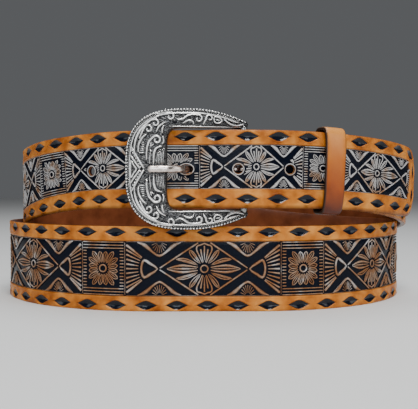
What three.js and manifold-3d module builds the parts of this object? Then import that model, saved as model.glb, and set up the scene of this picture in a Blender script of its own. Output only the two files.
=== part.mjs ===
// Western belt with a C-shaped buckle, buckled in its middle hole and doubled into a two-turn loop
// that stands on the lower turn's edge. Millimetres, +Z up, the buckle faces -Y.
//
// A place on the belt is given by how far along the loop's plan ring it lies (0 at the front centre,
// growing to the right), by its level (how far outward of that ring) and by its height above the floor.
import * as THREE from 'three';
import { mergeVertices } from 'three/addons/utils/BufferGeometryUtils.js';
import Module from 'manifold-3d';

const wasm = await Module();
wasm.setup();

const DEGREE = Math.PI / 180;

// Strap
const BODY_WIDTH = 42;
const END_WIDTH = 38;
const STRAP_THICKNESS = 3;
const EDGE_CHAMFER = 0.7;
const BUCKLE_END_PLAIN = 45;
const BUCKLE_END_TAPER = 115;
const TIP_END_PLAIN = 190;
const TIP_END_TAPER = 110;
const TIP_ROUND = 15;
const TIP_ROUNDNESS = 2.4;
const TIP_REACH = 143;
const FLAP_LENGTH = 37;
const FLAP_EASE = 22;

// Holes, the middle one drawn long by the prong
const HOLE_COUNT = 5;
const HOLE_SPACING = 25.4;
const HOLE_RADIUS = 2.4;
const WORN_HOLE_LENGTH = 7;
const HOLE_FROM_FRAME = 9.3;

// The loop's plan ring: flat front, wide front curves, tight sides, wide back
const FRONT_FLAT = 22;
const FRONT_RADIUS = 91;
const FRONT_TURN = 72 * DEGREE;
const SIDE_RADIUS = 38;
const BACK_TURN = 20 * DEGREE;

// Heights: the lower turn stands on the floor and the upper one stands clear above it
const TURN_GAP = 9;
const TIP_STANDOFF = 2.6;

// Clearance between pieces that touch
const TOUCH_GAP = 0.3;

// Buckle
const FRAME_LENGTH = 60;
const FRAME_HEIGHT = 59;
const FRAME_THICKNESS = 4.2;
const FRAME_SIDE_WIDTH = 20.5;
const FRAME_SEAT = 18.5;
const FRAME_ROUNDNESS = 2.9;
const WINDOW_ROUNDNESS = 6;
const ARM_LENGTH = 25.5;
const ARM_END_WIDTH = 4.4;
const STRAP_SIDE_PLAY = 0.7;
const BAR_RADIUS = 2;
const BAR_PLACE = 17.5;

// Prong
const PRONG_WIDTH = 3.4;
const PRONG_THICKNESS = 2.6;
const PRONG_LOOP_WALL = 1.6;
const PRONG_OVERLAP = 9;

// Keeper
const KEEPER_PLACE = 64;
const KEEPER_WIDTH = 11.5;
const KEEPER_WALL = 1.8;
const KEEPER_SIDE_PLAY = 1.1;
const KEEPER_FACE_PLAY = 1.75;
const KEEPER_SHAPE = 4;

// Rivets that hold the fold
const RIVET_FROM_BAR = 29.6;
const RIVET_SPREAD = 19;
const RIVET_SHANK_RADIUS = 2.2;
const RIVET_HEAD_RADIUS = 4.2;
const RIVET_HEAD_HEIGHT = 0.9;

// Worked out from the sizes above
const LAYER = STRAP_THICKNESS + TOUCH_GAP;
const UPPER_HEIGHT = BODY_WIDTH + TURN_GAP + END_WIDTH / 2;
const LOWER_HEIGHT = BODY_WIDTH / 2;
const FOLD_RADIUS = BAR_RADIUS + TOUCH_GAP + STRAP_THICKNESS / 2;
const BAR_LEVEL = -STRAP_THICKNESS / 2 - FOLD_RADIUS;
const FRAME_LEFT = BAR_PLACE + ARM_END_WIDTH / 2 - FRAME_LENGTH;
const WINDOW_LEFT = FRAME_LEFT + FRAME_SIDE_WIDTH;
const SEAT_PLACE = FRAME_LEFT + FRAME_SEAT;
const FRAME_CENTRE = BAR_PLACE - ARM_LENGTH;
const WINDOW_HALF = END_WIDTH / 2 + STRAP_SIDE_PLAY;
const HOLE_PLACE = WINDOW_LEFT + HOLE_FROM_FRAME;

// A half ring as stretches of one curvature, from the front centre to the back centre
const sideEndX = FRONT_FLAT + FRONT_RADIUS * Math.sin(FRONT_TURN)
  - SIDE_RADIUS * (Math.sin(FRONT_TURN) - Math.sin(BACK_TURN));
const RING = [
  { length: FRONT_FLAT, radius: Infinity },
  { length: FRONT_RADIUS * FRONT_TURN, radius: FRONT_RADIUS },
  { length: SIDE_RADIUS * (Math.PI - FRONT_TURN - BACK_TURN), radius: SIDE_RADIUS },
  { length: sideEndX / Math.sin(BACK_TURN) * BACK_TURN, radius: sideEndX / Math.sin(BACK_TURN) },
];
const LAP = 2 * RING.reduce((sum, part) => sum + part.length, 0);

// Level of the strap's middle along its two laps: share of a lap, level in strap thicknesses
const LEVELS = [
  { lap: 0.031, level: -0.5 },
  { lap: 0.115, level: -1.5 },
  { lap: 0.2, level: -0.2 },
  { lap: 0.27, level: 0.8 },
  { lap: 0.5, level: 0.8 },
  { lap: 0.75, level: 0.8 },
  { lap: 1, level: -1.4 },
  { lap: 1.25, level: -0.9 },
  { lap: 1.5, level: -0.9 },
  { lap: 1.7, level: -1.1 },
  { lap: 1.79, level: -2.3 },
  { lap: 1.86, level: -2.9 },
  { lap: 1.9, level: -1.9 },
  { lap: 1.935, level: -0.75 },
  { lap: 1.965, level: -0.5 },
  { lap: 2, level: -0.5 },
];

// The climb from the lower turn to the upper one, as shares of a lap from the front centre
const CLIMB_TOP = 0.02;
const CLIMB_FOOT = 0.74;

function clamp01(value) {
  return Math.min(1, Math.max(0, value));
}

function ease(value) {
  const t = clamp01(value);
  return t * t * (3 - 2 * t);
}

function softEase(value) {
  const t = clamp01(value);
  return t * t * t * (t * (6 * t - 15) + 10);
}

// Smooth curve through the rows of LEVELS, in strap thicknesses
function levelShare(lap) {
  const last = LEVELS.length - 2;
  const found = LEVELS.findIndex((row) => row.lap > lap) - 1;
  const i = found < 0 ? (lap <= LEVELS[0].lap ? 0 : last) : found;
  const slope = (k) => {
    const [a, at, b] = [LEVELS[k - 1], LEVELS[k], LEVELS[k + 1]];
    if (!a || !b || (b.level - at.level) * (at.level - a.level) <= 0) return 0;
    return (b.level - a.level) / (b.lap - a.lap);
  };
  const [from, to] = [LEVELS[i], LEVELS[i + 1]];
  const span = to.lap - from.lap;
  const t = clamp01((lap - from.lap) / span);
  const [t2, t3] = [t * t, t * t * t];
  return (2 * t3 - 3 * t2 + 1) * from.level + (t3 - 2 * t2 + t) * span * slope(i)
    + (3 * t2 - 2 * t3) * to.level + (t3 - t2) * span * slope(i + 1);
}

// Level of the strap's middle: past the second lap it climbs over the bar and lies on the first lap
function levelAt(place) {
  const past = place - 2 * LAP;
  const from = HOLE_PLACE - WORN_HOLE_LENGTH / 2;
  if (past <= from) return levelShare(place / LAP) * STRAP_THICKNESS;
  const under = levelShare(Math.max(past, BAR_PLACE) / LAP) * STRAP_THICKNESS;
  const climb = LAYER * ease((past - from) / (BAR_PLACE - FOLD_RADIUS - from));
  const keeperEnd = KEEPER_PLACE + KEEPER_WIDTH / 2;
  const off = TIP_STANDOFF * ease((past - keeperEnd) / (HOLE_PLACE + TIP_REACH - keeperEnd));
  return under + climb + off;
}

function heightAt(place) {
  const lap = place / LAP;
  const fromTop = lap > 1 ? Math.abs(2 - lap) : Math.abs(lap);
  const rise = softEase((CLIMB_FOOT - fromTop) / (CLIMB_FOOT - CLIMB_TOP));
  return LOWER_HEIGHT + (UPPER_HEIGHT - LOWER_HEIGHT) * rise;
}

// Plan position of a place at a level, with the outward direction of the ring there
function planAt(place, level) {
  const lapPlace = place - LAP * Math.round(place / LAP);
  const side = Math.sign(lapPlace) || 1;
  let left = Math.abs(lapPlace);
  let [x, y, turn] = [0, 0, 0];
  for (const part of RING) {
    const run = Math.min(left, part.length);
    if (part.radius === Infinity) {
      x += run;
    } else {
      const next = turn + run / part.radius;
      x += part.radius * (Math.sin(next) - Math.sin(turn));
      y += part.radius * (Math.cos(turn) - Math.cos(next));
      turn = next;
    }
    left -= run;
  }
  const out = new THREE.Vector2(side * Math.sin(turn), -Math.cos(turn));
  return { x: side * x + level * out.x, y: y + level * out.y, out };
}

// The strap's middle line in plan, in millimetre steps: flap, fold round the bar, two laps, tip
function strapLine() {
  const line = [];
  const add = (x, y, z) => {
    const last = line.at(-1);
    const length = last ? last.length + Math.hypot(x - last.x, y - last.y) : 0;
    line.push({ x, y, z, length });
  };
  const steps = Math.round(FLAP_LENGTH);
  for (let i = 0; i < steps; i += 1) {
    const run = FLAP_LENGTH * (1 - i / steps);
    const place = BAR_PLACE + run;
    const bulge = (2 * FOLD_RADIUS - LAYER) * (1 - ease(run / FLAP_EASE));
    const at = planAt(place, levelAt(place) - LAYER - bulge);
    add(at.x, at.y, heightAt(place));
  }
  for (let angle = 90; angle < 270; angle += 15) {
    const x = BAR_PLACE + FOLD_RADIUS * Math.cos(angle * DEGREE);
    add(x, -BAR_LEVEL + FOLD_RADIUS * Math.sin(angle * DEGREE), heightAt(BAR_PLACE));
  }
  const foldEnd = line.at(-1).length;
  const end = 2 * LAP + HOLE_PLACE + TIP_REACH;
  const count = Math.round(end - BAR_PLACE);
  for (let i = 0; i <= count; i += 1) {
    const place = BAR_PLACE + (end - BAR_PLACE) * i / count;
    const at = planAt(place, levelAt(place));
    add(at.x, at.y, heightAt(place));
  }
  const total = line.at(-1).length;
  return { line, foldEnd, total };
}

const { line: LINE, foldEnd: FOLD_END, total: TOTAL } = strapLine();

// Plan point, outward direction, height and slope at a length along the strap's middle line
function along(length) {
  const want = Math.min(Math.max(length, 0), TOTAL);
  let low = 0;
  let high = LINE.length - 1;
  while (high - low > 1) {
    const middle = (low + high) >> 1;
    if (LINE[middle].length <= want) low = middle;
    else high = middle;
  }
  const [a, b] = [LINE[low], LINE[high]];
  const t = (want - a.length) / (b.length - a.length);
  const before = LINE[Math.max(0, low - 1)];
  const after = LINE[Math.min(LINE.length - 1, high + 1)];
  const run = Math.hypot(after.x - before.x, after.y - before.y);
  const out = new THREE.Vector2(after.y - before.y, before.x - after.x).divideScalar(run);
  const slope = Math.atan2(after.z - before.z, after.length - before.length);
  const over = length - want;
  const x = a.x + (b.x - a.x) * t - out.y * over;
  const y = a.y + (b.y - a.y) * t + out.x * over;
  return { x, y, z: a.z + (b.z - a.z) * t, out, slope };
}

// A point of the strap: length along it, up across it and out of its middle
function strapPoint(length, up, out) {
  const base = along(length);
  const at = along(length - up * Math.sin(base.slope));
  const z = base.z + up * Math.cos(base.slope);
  return new THREE.Vector3(at.x + out * at.out.x, at.y + out * at.out.y, z);
}

// Length along the strap of a place in the last lap, found from the front of the loop
function lengthOf(place) {
  const at = planAt(place, levelAt(place));
  const near = LINE.filter((point) => point.length > FOLD_END
    && Math.abs(point.length - FOLD_END - place) < LAP / 4);
  near.sort((a, b) => Math.hypot(a.x - at.x, a.y - at.y) - Math.hypot(b.x - at.x, b.y - at.y));
  return near[0].length;
}

function halfWidthAt(length) {
  const fromFold = length - FOLD_END;
  const fromTip = TOTAL - length;
  const buckleEnd = ease((fromFold - BUCKLE_END_PLAIN) / BUCKLE_END_TAPER);
  const tipEnd = ease((fromTip - TIP_END_PLAIN) / TIP_END_TAPER);
  const width = END_WIDTH + (BODY_WIDTH - END_WIDTH) * Math.min(buckleEnd, tipEnd);
  const round = Math.min(1, Math.max(0.02, fromTip / TIP_ROUND));
  return width / 2 * (1 - (1 - round) ** TIP_ROUNDNESS) ** (1 / TIP_ROUNDNESS);
}

// Closed geometry from rings of points, each ring of one size, with its two ends capped
function ringedGeometry(positions, size) {
  const rings = positions.length / 3 / size;
  const index = [];
  for (let i = 0; i + 1 < rings; i += 1) {
    for (let k = 0; k < size; k += 1) {
      const [a, b] = [i * size + k, i * size + (k + 1) % size];
      index.push(a, b, a + size, b, b + size, a + size);
    }
  }
  const end = (rings - 1) * size;
  for (let k = 1; k < size - 1; k += 1) {
    index.push(0, k + 1, k);
    index.push(end, end + k, end + k + 1);
  }
  const geometry = new THREE.BufferGeometry();
  geometry.setAttribute('position', new THREE.Float32BufferAttribute(positions, 3));
  geometry.setIndex(index);
  return geometry;
}

function toSolid(geometry) {
  const bare = geometry.clone();
  bare.deleteAttribute('normal');
  bare.deleteAttribute('uv');
  const merged = mergeVertices(bare, 1e-4);
  return new wasm.Manifold(new wasm.Mesh({
    numProp: 3,
    vertProperties: new Float32Array(merged.attributes.position.array),
    triVerts: new Uint32Array(merged.index.array),
  }));
}

function toGeometry(solid) {
  const mesh = solid.getMesh();
  const geometry = new THREE.BufferGeometry();
  geometry.setAttribute('position', new THREE.BufferAttribute(mesh.vertProperties, 3));
  geometry.setIndex(new THREE.BufferAttribute(mesh.triVerts, 1));
  geometry.computeVertexNormals();
  return geometry;
}

// Turns a geometry whose X, Y, Z are along, up and out so that it lies on the strap at a length
function placeOnStrap(geometry, length, up) {
  const base = along(length);
  const tangent = new THREE.Vector3(-base.out.y, base.out.x, 0);
  const out = new THREE.Vector3(base.out.x, base.out.y, 0);
  const basis = new THREE.Matrix4().makeBasis(tangent, new THREE.Vector3(0, 0, 1), out);
  basis.setPosition(strapPoint(length, up, 0));
  return geometry.applyMatrix4(basis);
}

// The strip itself: rings of eight points, closer together where it turns sharply
function strapStrip() {
  const lengths = [];
  for (let length = 0; length < FOLD_END; length += 2.2) lengths.push(length);
  const bodyEnd = TOTAL - TIP_ROUND;
  const count = Math.round((bodyEnd - FOLD_END) / 5);
  for (let i = 0; i < count; i += 1) lengths.push(FOLD_END + (bodyEnd - FOLD_END) * i / count);
  for (let i = 0; i <= 10; i += 1) lengths.push(bodyEnd + TIP_ROUND * Math.sin(i * 9 * DEGREE));
  const positions = [];
  for (const length of lengths) {
    const half = halfWidthAt(length);
    const cut = Math.min(EDGE_CHAMFER, half / 2);
    const face = STRAP_THICKNESS / 2;
    const ring = [
      [half, face - cut], [half - cut, face], [cut - half, face], [-half, face - cut],
      [-half, cut - face], [cut - half, -face], [half - cut, -face], [half, cut - face],
    ];
    for (const [up, out] of ring) positions.push(...strapPoint(length, up, out));
  }
  return ringedGeometry(positions, 8);
}

const HOLE_LENGTH = lengthOf(2 * LAP + HOLE_PLACE);
const KEEPER_LENGTH = lengthOf(2 * LAP + KEEPER_PLACE);

function holeCutter(number) {
  const fromMiddle = number - (HOLE_COUNT - 1) / 2;
  const hole = new THREE.CylinderGeometry(HOLE_RADIUS, HOLE_RADIUS, STRAP_THICKNESS * 1.8, 16);
  hole.rotateX(Math.PI / 2);
  if (fromMiddle === 0) hole.scale(WORN_HOLE_LENGTH / (2 * HOLE_RADIUS), 1, 1);
  return placeOnStrap(hole, HOLE_LENGTH + fromMiddle * HOLE_SPACING, 0);
}

// The slot in the fold that lets the prong turn on the bar
function foldSlot() {
  const reach = FOLD_RADIUS + STRAP_THICKNESS;
  const depth = 2 * FOLD_RADIUS + STRAP_THICKNESS + TOUCH_GAP;
  const slot = new THREE.BoxGeometry(2 * reach, depth, PRONG_WIDTH + 4 * TOUCH_GAP);
  return slot.translate(BAR_PLACE, -BAR_LEVEL, heightAt(BAR_PLACE));
}

// Rivet outline about its own axis; extra widens it into the cutter of its hole
function rivetGeometry(extra) {
  const outer = STRAP_THICKNESS / 2 - TOUCH_GAP / 2 + extra;
  const inner = -STRAP_THICKNESS / 2 - LAYER - TOUCH_GAP - RIVET_HEAD_HEIGHT - extra;
  const profile = [
    [0, inner], [RIVET_HEAD_RADIUS + extra, inner],
    [RIVET_HEAD_RADIUS + extra, inner + RIVET_HEAD_HEIGHT + 2 * extra],
    [RIVET_SHANK_RADIUS + extra, inner + RIVET_HEAD_HEIGHT + 2 * extra],
    [RIVET_SHANK_RADIUS + extra, outer - RIVET_HEAD_HEIGHT - 2 * extra],
    [RIVET_HEAD_RADIUS + extra, outer - RIVET_HEAD_HEIGHT - 2 * extra],
    [RIVET_HEAD_RADIUS + extra, outer], [0, outer],
  ];
  const points = profile.map(([radius, height]) => new THREE.Vector2(radius, height));
  return new THREE.LatheGeometry(points, 16).rotateX(Math.PI / 2);
}

const RIVET_LENGTH = FOLD_END + RIVET_FROM_BAR;

function strapGeometry() {
  let strap = toSolid(strapStrip());
  for (let i = 0; i < HOLE_COUNT; i += 1) strap = strap.subtract(toSolid(holeCutter(i)));
  strap = strap.subtract(toSolid(foldSlot()));
  for (const side of [-1, 1]) {
    const cutter = placeOnStrap(rivetGeometry(TOUCH_GAP), RIVET_LENGTH, side * RIVET_SPREAD / 2);
    strap = strap.subtract(toSolid(cutter));
  }
  return toGeometry(strap);
}

// Loop of leather with bulging faces round both layers of the strap
function keeperGeometry() {
  const halfDepth = STRAP_THICKNESS + TOUCH_GAP / 2 + KEEPER_FACE_PLAY;
  const halfHeight = END_WIDTH / 2 + KEEPER_SIDE_PLAY;
  const oval = (grow) => {
    const points = [];
    for (let i = 0; i < 48; i += 1) {
      const angle = i / 48 * 2 * Math.PI;
      const [c, s] = [Math.cos(angle), Math.sin(angle)];
      const power = 2 / KEEPER_SHAPE;
      const out = Math.sign(c) * Math.pow(Math.abs(c), power) * (halfDepth + grow);
      points.push(new THREE.Vector2(out, Math.sign(s) * Math.pow(Math.abs(s), power) * (halfHeight + grow)));
    }
    return points;
  };
  const band = new THREE.Shape(oval(KEEPER_WALL));
  band.holes.push(new THREE.Path(oval(0)));
  const bevel = KEEPER_WALL / 4;
  const ring = new THREE.ExtrudeGeometry(band, {
    depth: KEEPER_WIDTH - 2 * bevel,
    bevelThickness: bevel,
    bevelSize: bevel,
    bevelOffset: -bevel,
    bevelSegments: 1,
  });
  ring.translate(0, 0, bevel - KEEPER_WIDTH / 2);
  ring.rotateY(-Math.PI / 2);
  ring.translate(0, 0, -LAYER / 2);
  return placeOnStrap(ring, KEEPER_LENGTH, 0);
}

// How far back the frame lies: it follows the strap left of its seat and bows down to the bar right of it
function frameDrop(x) {
  if (x < SEAT_PLACE) return planAt(x, 0).y - planAt(SEAT_PLACE, 0).y;
  const seat = TOUCH_GAP + FRAME_THICKNESS / 2;
  return (seat - BAR_LEVEL) * ((x - SEAT_PLACE) / (BAR_PLACE - SEAT_PLACE)) ** 2;
}

// The frame's cross-section: share of the way from its outer to its inner edge, share of its thickness
const FRAME_SECTION = [
  { across: 0, rise: 0.25 },
  { across: 0.03, rise: 0.6 },
  { across: 0.12, rise: 0.85 },
  { across: 0.35, rise: 1 },
  { across: 0.65, rise: 1 },
  { across: 0.88, rise: 0.85 },
  { across: 1, rise: 0.5 },
  { across: 1, rise: 0.15 },
  { across: 0.94, rise: 0 },
  { across: 0.72, rise: 0 },
  { across: 0.5, rise: 0 },
  { across: 0.28, rise: 0 },
  { across: 0.06, rise: 0 },
];

// Outer and inner edge of the frame, from the lower arm's end round the left side to the upper one's
function frameEdges() {
  const half = FRAME_HEIGHT / 2;
  const endRadius = ARM_END_WIDTH / 2;
  const round = (width, height, power, angle) => {
    const [c, s] = [Math.cos(angle), Math.sin(angle)];
    const reach = (Math.abs(c) / width) ** power + (Math.abs(s) / height) ** power;
    const radius = reach ** (-1 / power);
    return [FRAME_CENTRE + radius * c, radius * s];
  };
  const upper = [];
  for (let i = 0; i < 4; i += 1) {
    const angle = (5 + i * 25) * DEGREE;
    const x = BAR_PLACE + endRadius * Math.cos(angle);
    const middle = WINDOW_HALF + endRadius;
    const width = endRadius * Math.sin(angle);
    upper.push({ outer: [x, middle + width], inner: [x, middle - width] });
  }
  for (let i = 0; i < 8; i += 1) {
    const share = 1 - i / 8;
    const x = FRAME_CENTRE + ARM_LENGTH * share;
    const drop = (half - WINDOW_HALF - ARM_END_WIDTH) * share ** 2;
    upper.push({ outer: [x, half - drop], inner: [x, WINDOW_HALF] });
  }
  for (let i = 0; i < 18; i += 1) {
    const angle = (90 + i * 5) * DEGREE;
    upper.push({
      outer: round(FRAME_CENTRE - FRAME_LEFT, half, FRAME_ROUNDNESS, angle),
      inner: round(FRAME_CENTRE - WINDOW_LEFT, WINDOW_HALF, WINDOW_ROUNDNESS, angle),
    });
  }
  const flip = ({ outer, inner }) => ({ outer: [outer[0], -outer[1]], inner: [inner[0], -inner[1]] });
  const left = { outer: [FRAME_LEFT, 0], inner: [WINDOW_LEFT, 0] };
  return [...upper.map(flip), left, ...upper.reverse()];
}

function frameGeometry() {
  const edges = frameEdges();
  const size = FRAME_SECTION.length;
  const positions = [];
  for (const { outer, inner } of edges) {
    for (const { across, rise } of FRAME_SECTION) {
      const x = outer[0] + (inner[0] - outer[0]) * across;
      const z = outer[1] + (inner[1] - outer[1]) * across;
      const level = TOUCH_GAP + FRAME_THICKNESS * rise - frameDrop(x);
      positions.push(x, -level, UPPER_HEIGHT + z);
    }
  }
  const casting = toSolid(ringedGeometry(positions, size));
  const bar = new THREE.CylinderGeometry(BAR_RADIUS, BAR_RADIUS, 2 * WINDOW_HALF + ARM_END_WIDTH, 20);
  bar.rotateX(Math.PI / 2);
  bar.translate(BAR_PLACE, -BAR_LEVEL, UPPER_HEIGHT);
  return toGeometry(casting.add(toSolid(bar)));
}

// Middle line of the prong's shank in place and level, from its loop to its tip on the frame
function prongCurve() {
  const half = PRONG_THICKNESS / 2;
  const over = 2 * TOUCH_GAP + FRAME_THICKNESS + half;
  const under = -LAYER - half;
  const points = [
    [BAR_PLACE - BAR_RADIUS - PRONG_LOOP_WALL / 2, BAR_LEVEL + half / 2],
    [BAR_PLACE - 4 * BAR_RADIUS, under - TOUCH_GAP],
    [HOLE_PLACE + WORN_HOLE_LENGTH, under],
    [HOLE_PLACE + WORN_HOLE_LENGTH / 2, under + TOUCH_GAP],
    [HOLE_PLACE, -STRAP_THICKNESS / 2],
    [HOLE_PLACE - WORN_HOLE_LENGTH / 2, STRAP_THICKNESS],
    [WINDOW_LEFT + half, over - half / 2],
    [WINDOW_LEFT - half, over],
    [WINDOW_LEFT - PRONG_OVERLAP, over],
  ];
  return new THREE.SplineCurve(points.map(([place, level]) => new THREE.Vector2(place, level)));
}

function prongGeometry() {
  const curve = prongCurve();
  const steps = 36;
  const [above, below] = [[], []];
  for (let i = 0; i <= steps; i += 1) {
    const t = i / steps;
    const point = curve.getPoint(t);
    const tangent = curve.getTangent(t);
    const half = PRONG_THICKNESS / 2 * Math.sqrt(clamp01((1.03 - t) / 0.12));
    above.push(new THREE.Vector2(point.x - tangent.y * half, point.y + tangent.x * half));
    below.push(new THREE.Vector2(point.x + tangent.y * half, point.y - tangent.x * half));
  }
  const bevel = PRONG_THICKNESS / 4;
  const options = {
    depth: PRONG_WIDTH - 2 * bevel,
    bevelThickness: bevel,
    bevelSize: bevel,
    bevelOffset: -bevel,
    bevelSegments: 2,
  };
  const shank = new THREE.ExtrudeGeometry(new THREE.Shape([...above, ...below.reverse()]), options);
  const loop = new THREE.CylinderGeometry(
    BAR_RADIUS + TOUCH_GAP + PRONG_LOOP_WALL,
    BAR_RADIUS + TOUCH_GAP + PRONG_LOOP_WALL,
    PRONG_WIDTH,
    24,
  );
  const eye = new THREE.CylinderGeometry(BAR_RADIUS + TOUCH_GAP, BAR_RADIUS + TOUCH_GAP, 3 * PRONG_WIDTH, 24);
  for (const round of [loop, eye]) round.rotateX(Math.PI / 2).translate(BAR_PLACE, BAR_LEVEL, 0);
  shank.translate(0, 0, bevel - PRONG_WIDTH / 2);
  const prong = toGeometry(toSolid(shank).add(toSolid(loop)).subtract(toSolid(eye)));
  return prong.rotateX(Math.PI).translate(0, 0, heightAt(BAR_PLACE));
}

function piece(name, geometry, look) {
  const mesh = new THREE.Mesh(geometry, new THREE.MeshStandardMaterial(look));
  mesh.name = name;
  return mesh;
}

const belt = new THREE.Group();
belt.add(piece('strap', strapGeometry(), { color: 0xb9773b, roughness: 0.5, metalness: 0 }));
belt.add(piece('keeper', keeperGeometry(), { color: 0xc26f22, roughness: 0.35, metalness: 0 }));
belt.add(piece('buckle_frame', frameGeometry(), { color: 0xb9b6b0, roughness: 0.3, metalness: 1 }));
belt.add(piece('prong', prongGeometry(), { color: 0xd8cfc6, roughness: 0.25, metalness: 1 }));
for (const [number, side] of [[1, -1], [2, 1]]) {
  const rivet = placeOnStrap(rivetGeometry(0), RIVET_LENGTH, side * RIVET_SPREAD / 2);
  belt.add(piece(`fold_rivet_${number}`, rivet, { color: 0x9a958c, roughness: 0.4, metalness: 1 }));
}

// The origin is on the floor under the middle of the whole belt
const box = new THREE.Box3().setFromObject(belt);
const middle = box.getCenter(new THREE.Vector3());
belt.position.set(-middle.x, -middle.y, -box.min.z);

export default belt;
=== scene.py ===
"""Western belt, buckled and doubled into a two-turn loop: tooled strap, cast buckle, prong and keeper."""

import math

import bpy
import bmesh
import numpy as np
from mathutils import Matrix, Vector
from mathutils.bvhtree import BVHTree


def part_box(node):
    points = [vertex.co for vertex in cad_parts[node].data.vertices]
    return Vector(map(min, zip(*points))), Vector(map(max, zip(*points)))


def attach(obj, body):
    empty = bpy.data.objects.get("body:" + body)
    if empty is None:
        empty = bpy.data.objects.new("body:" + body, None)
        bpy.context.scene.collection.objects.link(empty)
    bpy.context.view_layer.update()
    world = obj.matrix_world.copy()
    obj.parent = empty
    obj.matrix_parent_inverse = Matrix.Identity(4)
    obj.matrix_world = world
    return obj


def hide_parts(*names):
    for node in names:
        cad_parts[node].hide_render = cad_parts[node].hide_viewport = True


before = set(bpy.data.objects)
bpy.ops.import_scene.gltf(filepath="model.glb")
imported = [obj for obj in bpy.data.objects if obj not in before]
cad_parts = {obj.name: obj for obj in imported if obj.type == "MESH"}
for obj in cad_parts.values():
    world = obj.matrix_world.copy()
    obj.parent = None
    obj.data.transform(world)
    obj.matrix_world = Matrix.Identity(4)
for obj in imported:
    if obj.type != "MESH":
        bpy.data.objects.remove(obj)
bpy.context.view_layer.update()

# The strap's course: one leather strip that starts with its flap behind the buckle's bar, folds round
# the bar, goes twice round a flat-fronted loop while it drops to the floor and climbs back, and ends in
# the tip that lies over its own start. All lengths of this section are millimetres, as a saddler's are.
MM = 0.001
BODY_WIDTH = 42.0
END_WIDTH = 38.0
LEATHER = 3.0
TOUCH = 0.3
LAYER = LEATHER + TOUCH
FLAP = 37.0
FLAP_EASE = 22.0
TIP_REACH = 143.0
TIP_ROUND = 15.0
TIP_ROUNDNESS = 2.4
TIP_STANDOFF = 2.6
BUCKLE_END_PLAIN, BUCKLE_END_TAPER = 45.0, 115.0
TIP_END_PLAIN, TIP_END_TAPER = 190.0, 110.0
BAR_PLACE = 17.5
BAR_RADIUS = 2.0
HOLE_PLACE = -10.5
WORN_HOLE = 7.0
KEEPER_PLACE = 64.0
KEEPER_WIDTH = 11.5
FOLD_RADIUS = BAR_RADIUS + TOUCH + LEATHER / 2
BAR_LEVEL = -LEATHER / 2 - FOLD_RADIUS
UPPER_HEIGHT = BODY_WIDTH + 9.0 + END_WIDTH / 2
LOWER_HEIGHT = BODY_WIDTH / 2
CLIMB_TOP, CLIMB_FOOT = 0.02, 0.74

front_turn, back_turn = math.radians(72), math.radians(20)
front_flat, front_radius, side_radius = 22.0, 91.0, 38.0
side_end = (front_flat + front_radius * math.sin(front_turn)
            - side_radius * (math.sin(front_turn) - math.sin(back_turn)))
back_radius = side_end / math.sin(back_turn)
RING = [
    (front_flat, math.inf),
    (front_radius * front_turn, front_radius),
    (side_radius * (math.pi - front_turn - back_turn), side_radius),
    (back_radius * back_turn, back_radius),
]
LAP = 2 * sum(length for length, radius in RING)

# Level of the strap's middle outward of the ring: share of a lap, level in strap thicknesses
LEVELS = [
    (0.031, -0.5), (0.115, -1.5), (0.2, -0.2), (0.27, 0.8), (0.5, 0.8), (0.75, 0.8), (1.0, -1.4),
    (1.25, -0.9), (1.5, -0.9), (1.7, -1.1), (1.79, -2.3), (1.86, -2.9), (1.9, -1.9),
    (1.935, -0.75), (1.965, -0.5), (2.0, -0.5),
]


def ease(values):
    t = np.clip(values, 0.0, 1.0)
    return t * t * (3 - 2 * t)


def soft_ease(value):
    t = min(1.0, max(0.0, value))
    return t * t * t * (t * (6 * t - 15) + 10)


def level_share(lap):
    """Smooth curve through the rows of LEVELS."""
    i = max(0, min(len(LEVELS) - 2, sum(1 for row in LEVELS if row[0] <= lap) - 1))

    def slope(k):
        if k == 0 or k == len(LEVELS) - 1:
            return 0.0
        (a, la), (m, lm), (b, lb) = LEVELS[k - 1:k + 2]
        return 0.0 if (lb - lm) * (lm - la) <= 0 else (lb - la) / (b - a)

    (start, low), (end, high) = LEVELS[i], LEVELS[i + 1]
    span = end - start
    t = min(1.0, max(0.0, (lap - start) / span))
    return ((2 * t**3 - 3 * t**2 + 1) * low + (t**3 - 2 * t**2 + t) * span * slope(i)
            + (3 * t**2 - 2 * t**3) * high + (t**3 - t**2) * span * slope(i + 1))


def level_at(place):
    """Level of the strap's middle; past the second lap it climbs over the bar and lies on the first."""
    past = place - 2 * LAP
    start = HOLE_PLACE - WORN_HOLE / 2
    if past <= start:
        return level_share(place / LAP) * LEATHER
    under = level_share(max(past, BAR_PLACE) / LAP) * LEATHER
    climb = LAYER * ease((past - start) / (BAR_PLACE - FOLD_RADIUS - start))
    keeper_end = KEEPER_PLACE + KEEPER_WIDTH / 2
    off = TIP_STANDOFF * ease((past - keeper_end) / (HOLE_PLACE + TIP_REACH - keeper_end))
    return under + climb + off


def height_at(place):
    lap = place / LAP
    from_top = abs(2 - lap) if lap > 1 else abs(lap)
    rise = soft_ease((CLIMB_FOOT - from_top) / (CLIMB_FOOT - CLIMB_TOP))
    return LOWER_HEIGHT + (UPPER_HEIGHT - LOWER_HEIGHT) * rise


def plan_at(place, level):
    """Plan position of a place on the ring at a level outward of it."""
    lap_place = place - LAP * math.floor(place / LAP + 0.5)
    side = -1 if lap_place < 0 else 1
    left = abs(lap_place)
    x = y = turn = 0.0
    for length, radius in RING:
        run = min(left, length)
        if radius == math.inf:
            x += run
        else:
            after = turn + run / radius
            x += radius * (math.sin(after) - math.sin(turn))
            y += radius * (math.cos(turn) - math.cos(after))
            turn = after
        left -= run
    return side * (x + level * math.sin(turn)), y - level * math.cos(turn)


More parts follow.
